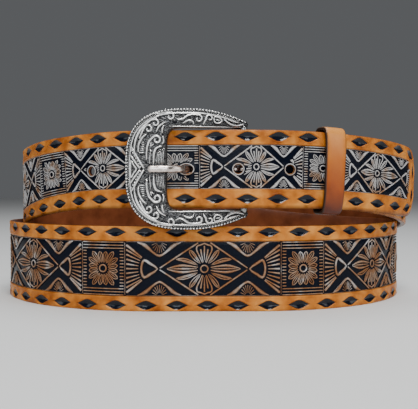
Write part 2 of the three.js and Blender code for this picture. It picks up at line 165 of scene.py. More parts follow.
def strap_course():
    """Points (x, y, height) of the strap's middle line in plan, in millimetre steps."""
    course = []
    for i in range(round(FLAP)):
        run = FLAP * (1 - i / round(FLAP))
        place = BAR_PLACE + run
        bulge = (2 * FOLD_RADIUS - LAYER) * (1 - ease(run / FLAP_EASE))
        course.append((*plan_at(place, level_at(place) - LAYER - bulge), height_at(place)))
    for angle in range(90, 270, 15):
        x = BAR_PLACE + FOLD_RADIUS * math.cos(math.radians(angle))
        y = -BAR_LEVEL + FOLD_RADIUS * math.sin(math.radians(angle))
        course.append((x, y, height_at(BAR_PLACE)))
    fold_end = len(course) - 1
    end = 2 * LAP + HOLE_PLACE + TIP_REACH
    count = round(end - BAR_PLACE)
    for i in range(count + 1):
        place = BAR_PLACE + (end - BAR_PLACE) * i / count
        course.append((*plan_at(place, level_at(place)), height_at(place)))
    return np.array(course), fold_end


course, fold_index = strap_course()
steps = np.hypot(*np.diff(course[:, :2], axis=0).T)
lengths = np.concatenate([[0.0], np.cumsum(steps)])
TOTAL = float(lengths[-1])
FOLD_END = float(lengths[fold_index])
slopes = np.arctan(np.gradient(course[:, 2], lengths))
normals = np.gradient(course[:, :2], lengths, axis=0)
normals = np.stack([normals[:, 1], -normals[:, 0]], axis=1)
normals /= np.linalg.norm(normals, axis=1)[:, None]

# Where the loop stands in the frame: its own outline against the strap's box
skin = np.concatenate([course[:, :2] + normals * LEATHER / 2, course[:, :2] - normals * LEATHER / 2])
strap_low, strap_high = (np.array(corner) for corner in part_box("strap"))
SHIFT = (strap_low + strap_high)[:2] / 2 / MM - (skin.min(axis=0) + skin.max(axis=0)) / 2

LEAD = 6.0
course_places = np.linspace(BAR_PLACE, 2 * LAP + HOLE_PLACE + TIP_REACH, len(course) - fold_index - 1)


def length_at(places):
    """Length along the strap at places on the ring from the bar on, led on past the tip."""
    over = np.maximum(places - course_places[-1], 0)
    return np.interp(places, course_places, lengths[fold_index + 1:]) + over


def new_object(name, data):
    obj = bpy.data.objects.new(name, data)
    bpy.context.collection.objects.link(obj)
    return obj


def mesh_object(name, points, edges, faces=(), **columns):
    """An object from points in metres, with columns of float values on its points."""
    mesh = bpy.data.meshes.new(name)
    mesh.from_pydata(np.asarray(points, float).tolist(), edges, faces)
    for label, values in columns.items():
        mesh.attributes.new(label, "FLOAT", "POINT").data.foreach_set("value", np.asarray(values, float))
    return new_object(name, mesh)


def guide_object():
    """The course as a chain of edges with its height and slope, led on a little past both ends."""
    first, last = course[0].copy(), course[-1].copy()
    first[:2] -= (course[1, :2] - course[0, :2]) / steps[0] * LEAD
    last[:2] += (course[-1, :2] - course[-2, :2]) / steps[-1] * LEAD
    points = np.concatenate([[first], course, [last]])
    flat = np.column_stack([(points[:, :2] + SHIFT) * MM, np.zeros(len(points))])
    chain = [(i, i + 1) for i in range(len(points) - 1)]
    return mesh_object("strap_guide", flat, chain, height=points[:, 2] * MM,
                       slope=np.pad(slopes, 1, "edge"))


class Socket:
    """A node socket that can be written in expressions; used for shaders and for geometry."""

    def __init__(self, tree, output):
        self.tree, self.output = tree, output

    def math(self, operation, *values):
        return add_node(self.tree, "ShaderNodeMath", {"operation": operation}, [self, *values])

    def vector_math(self, operation, *values):
        return add_node(self.tree, "ShaderNodeVectorMath", {"operation": operation}, [self, *values])

    def __add__(self, other):
        return self.math("ADD", other)

    def __sub__(self, other):
        return self.math("SUBTRACT", other)

    def __mul__(self, other):
        return self.math("MULTIPLY", other)

    def __truediv__(self, other):
        return self.math("DIVIDE", other)

    def __rsub__(self, other):
        return -self + other

    def __neg__(self):
        return self * -1.0

    def soft_clamp(self):
        return self.math("SMOOTH_MAX", 0.0, 0.1).math("SMOOTH_MIN", 1.0, 0.1)

    __radd__ = __add__
    __rmul__ = __mul__


def set_inputs(node, values):
    """Sets or links a node's inputs, by name or in their order."""
    for key, value in values.items() if isinstance(values, dict) else enumerate(values):
        if isinstance(value, Socket):
            value.tree.links.new(value.output, node.inputs[key])
        else:
            node.inputs[key].default_value = value


def add_node(tree, kind, settings=None, inputs=(), out=0):
    """Adds a node: its settings first, then values or links for its inputs by name or order."""
    node = tree.nodes.new(kind)
    for key, value in (settings or {}).items():
        if key == "ramp":
            while len(node.color_ramp.elements) < len(value):
                node.color_ramp.elements.new(1.0)
            for element, (place, colour) in zip(node.color_ramp.elements, value):
                element.position = place
                element.color = (*colour, 1.0)
        else:
            setattr(node, key, value)
    set_inputs(node, inputs)
    return Socket(tree, node.outputs[out])


def parts_of(vector):
    """The three parts of a vector, as sockets."""
    node = vector.tree.nodes.new("ShaderNodeSeparateXYZ")
    vector.tree.links.new(vector.output, node.inputs[0])
    return [Socket(vector.tree, socket) for socket in node.outputs]


def geometry_tree(name, **sizes):
    """An empty node tree with a geometry input, named inputs and a geometry output."""
    tree = bpy.data.node_groups.new(name, "GeometryNodeTree")
    tree.interface.new_socket("Geometry", in_out="INPUT", socket_type="NodeSocketGeometry")
    for label, kind in sizes.items():
        tree.interface.new_socket(label, in_out="INPUT", socket_type=kind)
    tree.interface.new_socket("Geometry", in_out="OUTPUT", socket_type="NodeSocketGeometry")
    begin = tree.nodes.new("NodeGroupInput")
    return tree, {socket.name: Socket(tree, socket) for socket in begin.outputs if socket.name}


def end_tree(tree, geometry):
    end = tree.nodes.new("NodeGroupOutput")
    tree.links.new(geometry.output, end.inputs[0])
    return tree


def shape_of(tree, source):
    """The shape of an object, where it stands."""
    return add_node(tree, "GeometryNodeObjectInfo", {"transform_space": "RELATIVE"}, [source], 4)


def stored(tree, name):
    """A float value stored on the points."""
    return add_node(tree, "GeometryNodeInputNamedAttribute", {"data_type": "FLOAT"}, [name])


def run_tree(obj, tree, values):
    """Runs a geometry tree on an object and keeps the result as its plain mesh."""
    modifier = obj.modifiers.new(tree.name, "NODES")
    modifier.node_group = tree
    for item in tree.interface.items_tree:
        if item.in_out == "INPUT" and item.name in values:
            modifier[item.identifier] = values[item.name]
    evaluated = obj.evaluated_get(bpy.context.evaluated_depsgraph_get())
    mesh = bpy.data.meshes.new_from_object(evaluated)
    obj.modifiers.remove(modifier)
    old = obj.data
    obj.data = mesh
    bpy.data.meshes.remove(old)
    return obj


def lay_on_strap_tree():
    """Bends what is laid out flat, with X along the strap, Y up across it and Z out, onto its course."""
    tree, given = geometry_tree("lay_on_strap", Course="NodeSocketObject", Lead="NodeSocketFloat",
                                Finish="NodeSocketMaterial")
    line = add_node(tree, "GeometryNodeMeshToCurve", {}, [shape_of(tree, given["Course"])])
    along, up, out = parts_of(add_node(tree, "GeometryNodeInputPosition"))
    along = along + given["Lead"]

    def sampled(length, output, **values):
        settings = {"mode": "LENGTH", "data_type": "FLOAT", "use_all_curves": True}
        inputs = {"Curves": line, "Length": length, **values}
        return add_node(tree, "GeometryNodeSampleCurve", settings, inputs, output)

    slope = sampled(along, "Value", Value=stored(tree, "slope"))
    height = sampled(along, "Value", Value=stored(tree, "height"))
    level_place = along - up * slope.math("SINE")
    spot, tangent = sampled(level_place, "Position"), sampled(level_place, "Tangent")
    outward = tangent.vector_math("CROSS_PRODUCT", (0, 0, 1)).vector_math("NORMALIZE")
    shifted = add_node(tree, "ShaderNodeVectorMath", {"operation": "SCALE"}, {0: outward, 3: out})
    rise = add_node(tree, "ShaderNodeCombineXYZ", {}, {2: height + up * slope.math("COSINE")})
    target = spot.vector_math("ADD", shifted).vector_math("ADD", rise)
    placed = add_node(tree, "GeometryNodeSetPosition", {}, {0: given["Geometry"], 2: target})
    real = add_node(tree, "GeometryNodeRealizeInstances", {}, [placed])
    return end_tree(tree, add_node(tree, "GeometryNodeSetMaterial", {}, {0: real, 2: given["Finish"]}))


GUIDE = guide_object()
LAY_ON_STRAP = lay_on_strap_tree()


def lay_on_strap(obj, finish):
    run_tree(obj, LAY_ON_STRAP, {"Course": GUIDE, "Lead": LEAD * MM, "Finish": finish})
    obj.data.shade_smooth()
    return obj


# Strap: one strip of thick vegetable-tanned leather, cut, edge-rounded and tooled. The borders keep the
# tan grain and carry a row of stamped, black-lacquered pockets that follows the edge round the tip; the
# band between them is pressed down and dyed black as the ground of the pattern. Its five holes are real.
FACE = LEATHER / 2
FLOOR = FACE - 0.75
EDGE_ROUND = 0.4
POCKET_PITCH = 15.15
POCKET_ROWS = 8
POCKET_HALF = (6.1, 2.5)
POCKET_FLAT = 1.1
POCKET_CENTRE_BODY = (2.95, 2.95)
POCKET_CENTRE_END = (3.15, 4.6)
BORDER_BODY = (7.3, 7.3)
BORDER_END = (7.1, 9.3)
BORDER_TIP, POCKET_CENTRE_TIP = 9.2, 4.4
TIP_BLEND, TIP_BLEND_END = 14.0, 2.0
PLAIN_TO_FOLD = 8.0
FINE_STEP, ROW_STEP = 0.25, 0.9
# Border's inner lip: distance from the band's edge, level, dye
LIP_PROFILE = [(-0.95, FACE, 0.0), (-0.55, FACE + 0.1, 0.0), (-0.2, FACE - 0.02, 0.0),
               (0.08, FACE - 0.4, 0.5), (0.3, FLOOR - 0.12, 1.0), (0.9, FLOOR, 1.0)]
# Rings of a pocket from its rim in: share of its outline, growth, level, dye
POCKET_RINGS = [(1.0, 0.5, FACE + 0.02, 0.0), (1.0, 0.22, FACE + 0.12, 0.0), (1.0, 0.0, FACE - 0.02, 0.0),
                (0.91, 0.0, FACE - 0.38, 0.2), (0.86, 0.0, FACE - 0.48, 1.0), (0.34, 0.0, FACE - 1.15, 1.0)]
POCKET_BOTTOM = FACE - 1.25
# Rings of a hole from the front to the back: growth, level, dye
HOLE_RINGS = [(0.75, FLOOR, 1.0), (0.5, FLOOR + 0.1, 0.9), (0.15, FLOOR + 0.1, 0.6),
              (-0.1, FLOOR - 0.1, 0.5), (-0.35, FLOOR - 0.7, 0.93), (0.0, -FACE + 0.2, 0.95),
              (0.2, -FACE, 0.0)]
POCKET_MARGIN = 0.3
RIM_DYE, BACK_RIM_DYE = 0.6, 0.3
FLESH_FROM, FLESH_BLEND = 0.7, 0.5
FLOOR_COLUMNS = 10
HOLE_SPACING = 25.4
HOLE_RADIUS = 2.4


def body_share(length):
    """0 at the narrow ends and 1 where the strap has its full width."""
    from_fold = ease((length - FOLD_END - BUCKLE_END_PLAIN) / BUCKLE_END_TAPER)
    from_tip = ease((TOTAL - length - TIP_END_PLAIN) / TIP_END_TAPER)
    return np.minimum(from_fold, from_tip)


def half_width(length):
    straight = (END_WIDTH + (BODY_WIDTH - END_WIDTH) * body_share(length)) / 2
    short = np.clip((TOTAL - length) / TIP_ROUND, 0.0, 1.0)
    return straight * (1 - (1 - short) ** TIP_ROUNDNESS) ** (1 / TIP_ROUNDNESS)


def along_strap(length, body, end, tip):
    """A measure that goes from its value in the body to that at the end, and to that round the tip."""
    width = end + (body - end) * body_share(length)
    return width + (tip - width) * ease((length - TOTAL + TIP_BLEND) / (TIP_BLEND - TIP_BLEND_END))


def border_width(length, side):
    """Width of the upper (side 0) or lower (side 1) border."""
    return along_strap(length, BORDER_BODY[side], BORDER_END[side], BORDER_TIP)


def pocket_centre(length, side):
    """How far in from the edge the middle of a border's pockets lies."""
    return along_strap(length, POCKET_CENTRE_BODY[side], POCKET_CENTRE_END[side], POCKET_CENTRE_TIP)


# The upper edge as a line from the tip's end: length along the strap, half width, inward direction
back_off = np.concatenate([TIP_ROUND * (1 - np.cos(np.linspace(0, math.pi / 2, 60))) ** 1.5,
                           np.arange(TIP_ROUND + FINE_STEP, TOTAL, FINE_STEP), [TOTAL]])
edge_line = np.stack([TOTAL - back_off, half_width(TOTAL - back_off)], axis=1)
edge_run = np.concatenate([[0.0], np.cumsum(np.linalg.norm(np.diff(edge_line, axis=0), axis=1))])
plain_from = edge_run[np.searchsorted(back_off, TOTAL - FOLD_END - PLAIN_TO_FOLD)]
pocket_count = int(plain_from // POCKET_PITCH)
row_runs = np.concatenate([
    np.arange(pocket_count * POCKET_ROWS + 1) * POCKET_PITCH / POCKET_ROWS,
    np.arange(pocket_count * POCKET_PITCH + ROW_STEP, edge_run[-1] - 0.5, ROW_STEP), [edge_run[-1]],
])
edge_direction = np.gradient(edge_line, edge_run, axis=0)
edge_direction /= np.linalg.norm(edge_direction, axis=1)[:, None]
row_edge = np.stack([np.interp(row_runs, edge_run, edge_line[:, k]) for k in (0, 1)], axis=1)
row_inward = np.stack([-np.interp(row_runs, edge_run, edge_direction[:, 1]),
                       np.interp(row_runs, edge_run, edge_direction[:, 0])], axis=1)
row_inward[0] = (-1.0, 0.0)
row_border = np.stack([border_width(row_edge[:, 0], side) for side in (0, 1)], axis=1)


class StrapMesh:
    """Points and faces of the flat strap; points hold along, up, out and how much black dye they carry."""

    def __init__(self):
        self.points, self.dye, self.faces = [], [], []

    def point(self, along, up, out, dye=0.0):
        self.points.append((along, up, out))
        self.dye.append(dye)
        return len(self.points) - 1

    def inward(self, row, side, distance, out, dye=0.0):
        """A point at a distance inward of the upper (0) or lower (1) edge."""
        along, up = row_edge[row] + row_inward[row] * distance
        return self.point(along, max(up, 0.0) * (1, -1)[side], out, dye)

    def strips(self, columns, flip=False, skip=()):
        """Quads between neighbouring columns of points, row by row."""
        for c in range(len(columns) - 1):
            for row in range(len(columns[c]) - 1):
                if (row, c) in skip:
                    continue
                quad = (columns[c][row], columns[c + 1][row], columns[c + 1][row + 1], columns[c][row + 1])
                self.faces.append(quad[::-1] if flip else quad)

    def rings(self, rings, closed_end=None):
        """Quads from ring to ring of equal size, and a fan to a last point."""
        size = len(rings[0])
        for a, b in zip(rings, rings[1:]):
            for i in range(size):
                self.faces.append((a[i], a[(i + 1) % size], b[(i + 1) % size], b[i]))
        if closed_end is not None:
            for i in range(size):
                self.faces.append((rings[-1][i], rings[-1][(i + 1) % size], closed_end))


def block_border(columns, rows, cols):
    """Indices round a block of a grid of columns, from its first row and column."""
    (r0, r1), (c0, c1) = rows, cols
    border = [columns[c0][r] for r in range(r0, r1)]
    border += [columns[c][r1] for c in range(c0, c1)]
    border += [columns[c1][r] for r in range(r1, r0, -1)]
    return border + [columns[c][r0] for c in range(c1, c0, -1)]


def pocket_reach(dx, dy):
    """How far the pocket's six-sided outline reaches along a direction."""
    long, tall = POCKET_HALF
    sloped = (abs(dx) + abs(dy) * (long - POCKET_FLAT) / tall) / long
    return 1 / max(abs(dy) / tall, sloped, 1e-9)


strap_mesh = StrapMesh()
lacquered = []
row_count = len(row_runs)


def edge_column(side, distances, out, dye=0.0):
    """A column of points at a distance, or one for each row, inward of an edge."""
    spread = np.broadcast_to(distances, row_count)
    return [strap_mesh.inward(r, side, spread[r], out, dye) for r in range(row_count)]


border_columns = []
for side in (0, 1):
    row_pocket = pocket_centre(row_edge[:, 0], side)
    flat_columns = [edge_column(side, row_pocket + share * (POCKET_HALF[1] + POCKET_MARGIN), FACE)
                    for share in np.linspace(-1, 1, 5)]
    lip_columns = [edge_column(side, row_border[:, side] + distance, out, dye)
                   for distance, out, dye in LIP_PROFILE]
    rim = [edge_column(side, 0.0, out, RIM_DYE) for out in (-FACE + EDGE_ROUND, FACE - EDGE_ROUND)]
    columns = rim + flat_columns + lip_columns
    skip = set()
    for pocket in range(pocket_count):
        rows = (pocket * POCKET_ROWS, (pocket + 1) * POCKET_ROWS)
        skip |= {(r, c) for r in range(*rows) for c in range(2, 6)}
        border = block_border(columns, rows, (2, 6))
        middle = rows[0] + POCKET_ROWS // 2
        flip = np.array((1, -1 if side else 1))
        inward = row_inward[middle] * flip
        centre = row_edge[middle] * flip + inward * row_pocket[middle]
        around = np.array([strap_mesh.points[i][:2] for i in border]) - centre
        tangent = np.array([row_inward[middle][1], -row_inward[middle][0]]) * flip
        rings = [border]
        for share, grow, out, dye in POCKET_RINGS:
            ring = []
            for offset in around:
                x, y = offset @ tangent, offset @ inward
                spot = centre + offset * (pocket_reach(x, y) * share + grow / math.hypot(x, y))
                ring.append(strap_mesh.point(*spot, out, dye))
            rings.append(ring)
        strap_mesh.rings(rings, strap_mesh.point(*centre, POCKET_BOTTOM, 1.0))
        lacquered += [*rings[-2], *rings[-1], len(strap_mesh.points) - 1]
    strap_mesh.strips(columns, flip=bool(side), skip=skip)
    border_columns.append(columns)

# The pressed band and the strap's back share their columns, so holes and the slot go straight through
band_columns, back_columns = [], []
upper_band, lower_band = (np.array([strap_mesh.points[i] for i in columns[-1]])
                          for columns in border_columns)
for c in range(FLOOR_COLUMNS + 1):
    spots = upper_band + (lower_band - upper_band) * c / FLOOR_COLUMNS
    if 0 < c < FLOOR_COLUMNS:
        band_columns.append([strap_mesh.point(along, up, FLOOR, 1.0) for along, up, out in spots])
    else:
        band_columns.append(border_columns[c // FLOOR_COLUMNS][-1])
    back_columns.append([strap_mesh.point(along, up, -FACE) for along, up, out in spots])
edges_back = [edge_column(side, EDGE_ROUND, -FACE, BACK_RIM_DYE) for side in (0, 1)]
back_columns = [border_columns[0][0], edges_back[0], *back_columns, edges_back[1], border_columns[1][0]]

hole_spot = plan_at(2 * LAP + HOLE_PLACE, level_at(2 * LAP + HOLE_PLACE))
apart = np.hypot(*(course[fold_index:, :2] - hole_spot).T) + (lengths[fold_index:] < TOTAL / 2) * 1000
hole_middle = float(lengths[fold_index + np.argmin(apart)])
hole_lengths = [hole_middle + (k - 2) * HOLE_SPACING for k in range(5)]
hole_stretches = [1.0, 1.0, WORN_HOLE / 2 / HOLE_RADIUS, 1.0, 1.0]


def cut_open(rows, cols, rings_between):
    """Leaves a block out of the band and the back, and joins the two borders by rings of points."""
    skip_front.update((r, c) for r in range(*rows) for c in range(*cols))
    skip_back.update((r, c + 2) for r in range(*rows) for c in range(*cols))
    front = block_border(band_columns, rows, cols)
    strap_mesh.rings([front, *rings_between(front), block_border(back_columns[2:-2], rows, cols)])


skip_front, skip_back = set(), set()
middle_column = FLOOR_COLUMNS // 2
for hole, stretch in zip(hole_lengths, hole_stretches):
    def hole_rings(front):
        directions = np.array([strap_mesh.points[i][:2] for i in front]) - (hole, 0.0)
        angles = np.arctan2(directions[:, 1], directions[:, 0])
        return [[strap_mesh.point(hole + (HOLE_RADIUS * stretch + grow) * math.cos(a),
                                  (HOLE_RADIUS + grow) * math.sin(a), out, dye) for a in angles]
                for grow, out, dye in HOLE_RINGS]

    hole_row = int(np.argmin(abs(row_edge[:, 0] - hole)))
    cut_open((hole_row - 3, hole_row + 3), (middle_column - 2, middle_column + 2), hole_rings)

# The slot in the fold, where the prong turns on the bar
slot_start = FOLD_END - math.pi * FOLD_RADIUS - FOLD_RADIUS - LEATHER
slot_end = FOLD_END + FOLD_RADIUS + LEATHER
slot_rows = [r for r in range(row_count) if slot_start < row_edge[r, 0] < slot_end]
cut_open((slot_rows[0], slot_rows[-1]), (middle_column - 1, middle_column + 1), lambda front: [])

strap_mesh.strips(band_columns, skip=skip_front)
strap_mesh.strips(back_columns, flip=True, skip=skip_back)
flap_end = [columns[-1] for columns in border_columns[0]]
flap_end += [columns[-1] for columns in band_columns[1:-1]]
flap_end += [columns[-1] for columns in reversed(border_columns[1])]
flap_end += [columns[-1] for columns in reversed(back_columns[1:-1])]
strap_mesh.faces.append(tuple(flap_end[::-1]))


class Finish:
    """A new material, with short forms of the nodes that finishes are made of."""

    def __init__(self, name):
        self.material = bpy.data.materials.new(name)
        self.material.use_nodes = True
        self.tree = self.material.node_tree
        self.place = add_node(self.tree, "ShaderNodeTexCoord", out=3)

    def attribute(self, name):
        return add_node(self.tree, "ShaderNodeAttribute", {"attribute_name": name}, out=2)

    def noise(self, scale, detail):
        return add_node(self.tree, "ShaderNodeTexNoise", {},
                        {"Vector": self.place, "Scale": scale, "Detail": detail})

    def ramp(self, value, *stops):
        return add_node(self.tree, "ShaderNodeValToRGB", {"ramp": stops}, [value])

    def mix(self, share, *colours):
        first, second = (colour if isinstance(colour, Socket) else (*colour, 1.0) for colour in colours)
        inputs = {0: share, 6: first, 7: second}
        return add_node(self.tree, "ShaderNodeMix", {"data_type": "RGBA"}, inputs, out=2)

    def bump(self, height, strength, distance):
        return add_node(self.tree, "ShaderNodeBump", {},
                        {"Strength": strength, "Distance": distance, "Height": height})

    def made(self, inputs):
        """The material, with values and sockets given to its shader."""
        set_inputs(self.tree.nodes["Principled BSDF"], inputs)
        return self.material


def leather_finish():
    """Vegetable-tanned leather: mottled tan skin, brown flesh side, black dye and lacquered pockets."""
    finish = Finish("leather")
    dye, mottle = finish.attribute("dye"), finish.noise(110.0, 6.0)
    tan = finish.ramp(mottle, (0.32, (0.24, 0.06, 0.008)), (0.5, (0.46, 0.148, 0.02)),
                      (0.68, (0.62, 0.25, 0.05)))
    flesh = finish.ramp(mottle, (0.3, (0.10, 0.027, 0.010)), (0.7, (0.2, 0.058, 0.022)))
    skin = finish.mix(finish.attribute("lining"), tan, flesh)
    return finish.made({
        "Base Color": finish.mix(dye, skin, (0.002, 0.0035, 0.009)),
        "Roughness": dye * -0.14 + 0.34,
        "Specular IOR Level": 0.09,
        "Coat Weight": finish.attribute("lacquer") * 0.45,
        "Coat Roughness": 0.12,
        "Normal": finish.bump(finish.noise(900.0, 3.0), 0.15, 0.0006),
    })


def close_shell(mesh, seam=False):
    """Turns the faces of a closed shell outward; a seam is first joined and its gap filled."""
    shell = bmesh.new()
    shell.from_mesh(mesh)
    if seam:
        bmesh.ops.remove_doubles(shell, verts=shell.verts, dist=1e-6)
        gap = [edge for edge in shell.edges if edge.is_boundary]
        filled = bmesh.ops.holes_fill(shell, edges=gap, sides=0)["faces"]
        bmesh.ops.triangulate(shell, faces=filled)
    bmesh.ops.recalc_face_normals(shell, faces=shell.faces)
    shell.to_mesh(mesh)
    shell.free()


strap_points = np.array(strap_mesh.points)
lacquer = np.zeros(len(strap_points))
lacquer[lacquered] = 1.0
strap = mesh_object("strap_leather", strap_points * MM, [], strap_mesh.faces, dye=strap_mesh.dye,
                    lining=np.clip((-strap_points[:, 2] - FLESH_FROM) / FLESH_BLEND, 0, 1), lacquer=lacquer)
lay_on_strap(strap, leather_finish())
close_shell(strap.data, seam=True)
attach(strap, "root")
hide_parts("strap")


# Tooling: the raised pattern of the pressed band, left standing when the ground round it was beaten down.
# Panels of crossed lines with a flower, fans and half rosettes take turns with square flower panels. Each
# is drawn once; the crossed ones are stretched to fill the way between two squares, and both are fitted to
# the band's height.
PANEL_HALF = 37.2
SQUARE_HALF = 11.35
BAND_HALF = 13.65
RIDGE_RISE = 1.3
FLAP_COVER = 34.0
TIP_MARGIN, PAST_TIP = 8.6, 20.0
HOLE_MARGIN = 1.0
HOLE_LIP, HOLE_LIP_HALF, HOLE_LIP_RISE, HOLE_LIP_POINTS = 0.3, 0.42, 0.62, 24
# Place, counted from the middle hole toward the tip, of the centres of the flower panels, by panel number
PANEL_ANCHORS = [
    (3, 197.0), (2, 103.0), (1, 33.9), (0, -44.0), (-1, -126.0), (-2, -209.0), (-3, -292.0), (-4, -375.0),
    (-5, -458.0), (-5.5, -504.8), (-6, -555.0), (-6.5, -606.4), (-7, -652.0), (-8, -749.0), (-9, -846.0),
    (-10, -943.0), (-11, -1040.0),
]


def smooth_path(points, count, closed=False):
    """Points spread evenly in parameter on a smooth curve through the given ones (2-D or more)."""
    points = np.array(points, float)
    size = len(points)
    spans = size if closed else size - 1
    path = []
    for t in np.linspace(0, spans, count, endpoint=not closed):
        i = min(int(t), spans - 1)
        f = t - i
        if closed:
            a, b, c, d = (points[(i + k) % size] for k in (-1, 0, 1, 2))
        else:
            b, c = points[i], points[i + 1]
            a = points[i - 1] if i > 0 else 2 * b - c
            d = points[i + 2] if i + 2 < size else 2 * c - b
        path.append(0.5 * (2 * b + (c - a) * f + (2 * a - 5 * b + 4 * c - d) * f * f
                           + (3 * b - 3 * c + d - a) * f**3))
    return np.array(path)


class Drawing:
    """Ridges of a panel: chains of points (x, y, half width, rise)."""

    def __init__(self):
        self.chains = []

    def ridge(self, points, count, rise, mirror="", closed=False):
        """One ridge through points (x, y, half width), also mirrored across x and y as asked."""
        path = smooth_path(points, count, closed)
        path = np.column_stack([path, np.full(len(path), rise * RIDGE_RISE)])
        for fx in (1, -1) if "x" in mirror else (1,):
            for fy in (1, -1) if "y" in mirror else (1,):
                self.chains.append((path * (fx, fy, 1, 1), closed))

    def ring(self, radius, half, rise, count=14):
        turns = np.arange(count) / count * 2 * math.pi
        spots = [(radius * math.cos(t), radius * math.sin(t), half) for t in turns]
        self.ridge(spots, count, rise, closed=True)

    def made(self, name):
        """An object of loose edges, one chain for each ridge."""
        points, edges = [], []
        for path, closed in self.chains:
            first = len(points)
            points.extend(path)
            edges += [(first + i, first + i + 1) for i in range(len(path) - 1)]
            if closed:
                edges.append((len(points) - 1, first))
        x, y, half_width, rise = np.array(points).T * MM
        return mesh_object(name, np.stack([x, y, x * 0], axis=1), edges, half_width=half_width, rise=rise)


def flower_panel():
    drawing = Drawing()
    ridge = drawing.ridge
    # Crossed lines: the diamond round the flower
    ridge([(20.9, 0.45, 0.5), (12, 6.6, 0.66), (2.9, 12.85, 0.62)], 7, 0.62, "xy")
    # Arrowheads behind the crossings and the fans that spread from them
    ridge([(22.0, 0.0, 0.6), (25.4, 2.6, 1.0), (28.1, 4.3, 0.95), (29.2, 2.4, 0.85), (29.5, 0.0, 0.8),
           (29.2, -2.4, 0.85), (28.1, -4.3, 0.95), (25.4, -2.6, 1.0)], 16, 0.68, "x", closed=True)
    ridge([(29.2, 5.6, 0.55), (32.8, 8.6, 0.85), (36.5, 11.7, 0.95)], 4, 0.65, "xy")
    for k in range(9):
        outer = np.array((36.55, 9.3 - 2.325 * k))
        focus = np.array((21.0, 0.0))
        reach = outer - focus
        inner = focus + reach * 9.9 / np.linalg.norm(reach)
        ridge([(*inner, 0.3), (*((inner + outer) / 2), 0.5), (*outer, 0.72)], 4, 0.52, "x")
    # Half rosettes in their tan gables at the band's edges
    ridge([(10.9, 13.0, 0.3), (13.0, 12.3, 1.0), (15.0, 11.1, 1.35), (17.1, 9.1, 0.95), (19.2, 7.3, 0.75),
           (21.1, 6.4, 0.85), (23.0, 7.3, 0.75), (25.1, 9.1, 0.95), (27.2, 11.1, 1.35), (29.2, 12.3, 1.0),
           (31.3, 13.0, 0.3)], 21, 0.6, "xy")
    for k in range(9):
        turn = math.radians(-90 + (k - 4) * 18.5)
        across, down = math.cos(turn), math.sin(turn)
        ridge([(21.1 + 1.2 * across, 13.2 + 1.5 * down, 0.15),
               (21.1 + 3.6 * across, 13.2 + 5.3 * down, 0.3)], 3, 0.42, "xy")
    # Flower: ring, two long leaves, two lobed petals, and slim petals between them
    drawing.ring(1.75, 0.55, 0.7)
    ridge([(3.1, 0.75, 0.35), (6.5, 1.3, 0.62), (10.0, 1.65, 0.85), (13.4, 1.3, 0.8), (17.6, 0.12, 0.25)],
           9, 0.62, "xy")
    ridge([(3.3, 1.9, 0.34), (6.4, 4.0, 0.42), (9.8, 5.15, 0.44), (13.3, 4.75, 0.42), (10.6, 3.9, 0.4),
           (7.2, 2.9, 0.36)], 12, 0.5, "xy", closed=True)
    ridge([(1.9, 2.7, 0.32), (3.5, 5.6, 0.4), (5.1, 8.1, 0.44), (7.0, 9.2, 0.42), (6.6, 6.9, 0.4),
           (4.4, 4.2, 0.36)], 12, 0.5, "xy", closed=True)
    ridge([(0.95, 3.0, 0.36), (2.3, 6.2, 0.5), (3.7, 9.3, 0.6), (3.3, 11.3, 0.62), (1.7, 11.7, 0.6),
           (0.0, 12.5, 0.6), (-1.7, 11.7, 0.6), (-3.3, 11.3, 0.62), (-3.7, 9.3, 0.6), (-2.3, 6.2, 0.5),
           (-0.95, 3.0, 0.36)], 19, 0.6, "y")
    ridge([(0.55, 3.3, 0.3), (1.3, 6.8, 0.5), (1.75, 9.6, 0.62)], 5, 0.48, "xy")
    # Low backs inside the petals
    ridge([(3.6, 0.0, 0.25), (7.5, 0.0, 0.5), (11.5, 0.0, 0.65), (16.0, 0.0, 0.2)], 7, 0.32, "x")
    ridge([(4.2, 2.15, 0.2), (8.0, 3.75, 0.55), (12.4, 4.65, 0.3)], 4, 0.38, "xy")
    ridge([(2.9, 3.6, 0.2), (4.6, 6.2, 0.55), (6.5, 8.6, 0.35)], 4, 0.38, "xy")
    ridge([(0.0, 4.2, 0.15), (0.0, 8.2, 0.55), (0.0, 11.3, 0.6)], 5, 0.4, "y")
    # Fine lines that frame the panel
    ridge([(37.3, -12.9, 0.2), (37.3, 12.9, 0.2)], 5, 0.35, "x")
    ridge([(-36.6, 13.3, 0.17), (36.6, 13.3, 0.17)], 15, 0.3, "y")
    return drawing.made("flower_panel")


def square_panel():
    drawing = Drawing()
    ridge = drawing.ridge
    for height in (13.0, 11.5, 10.0):
        ridge([(-10.6, height, 0.4), (10.6, height, 0.4)], 5, 0.5, "y")
    for k in range(12):
        up = (k - 5.5) * 1.56
        ridge([(8.75, up, 0.42), (10.6, up, 0.42)], 2, 0.5, "x")
    for k in range(16):
        turn = math.radians(11.25 + 22.5 * k)
        c, s = math.cos(turn), math.sin(turn)
        reach = min(7.5 / abs(c), 8.2 / abs(s), 9.9)
        loop = [(2.9, 0.0, 0.28), (reach * 0.5, 0.62, 0.34), (reach * 0.82, 1.05, 0.4), (reach, 0.0, 0.42),
                (reach * 0.82, -1.05, 0.4), (reach * 0.5, -0.62, 0.34)]
        ridge([(r * c - w * s, r * s + w * c, half) for r, w, half in loop], 10, 0.5, closed=True)
        ridge([(r * c, r * s, half) for r, half in ((3.4, 0.15), (reach * 0.7, 0.4), (reach * 0.92, 0.15))],
               3, 0.38)
    drawing.ring(1.75, 0.6, 0.7)
    return drawing.made("square_panel")


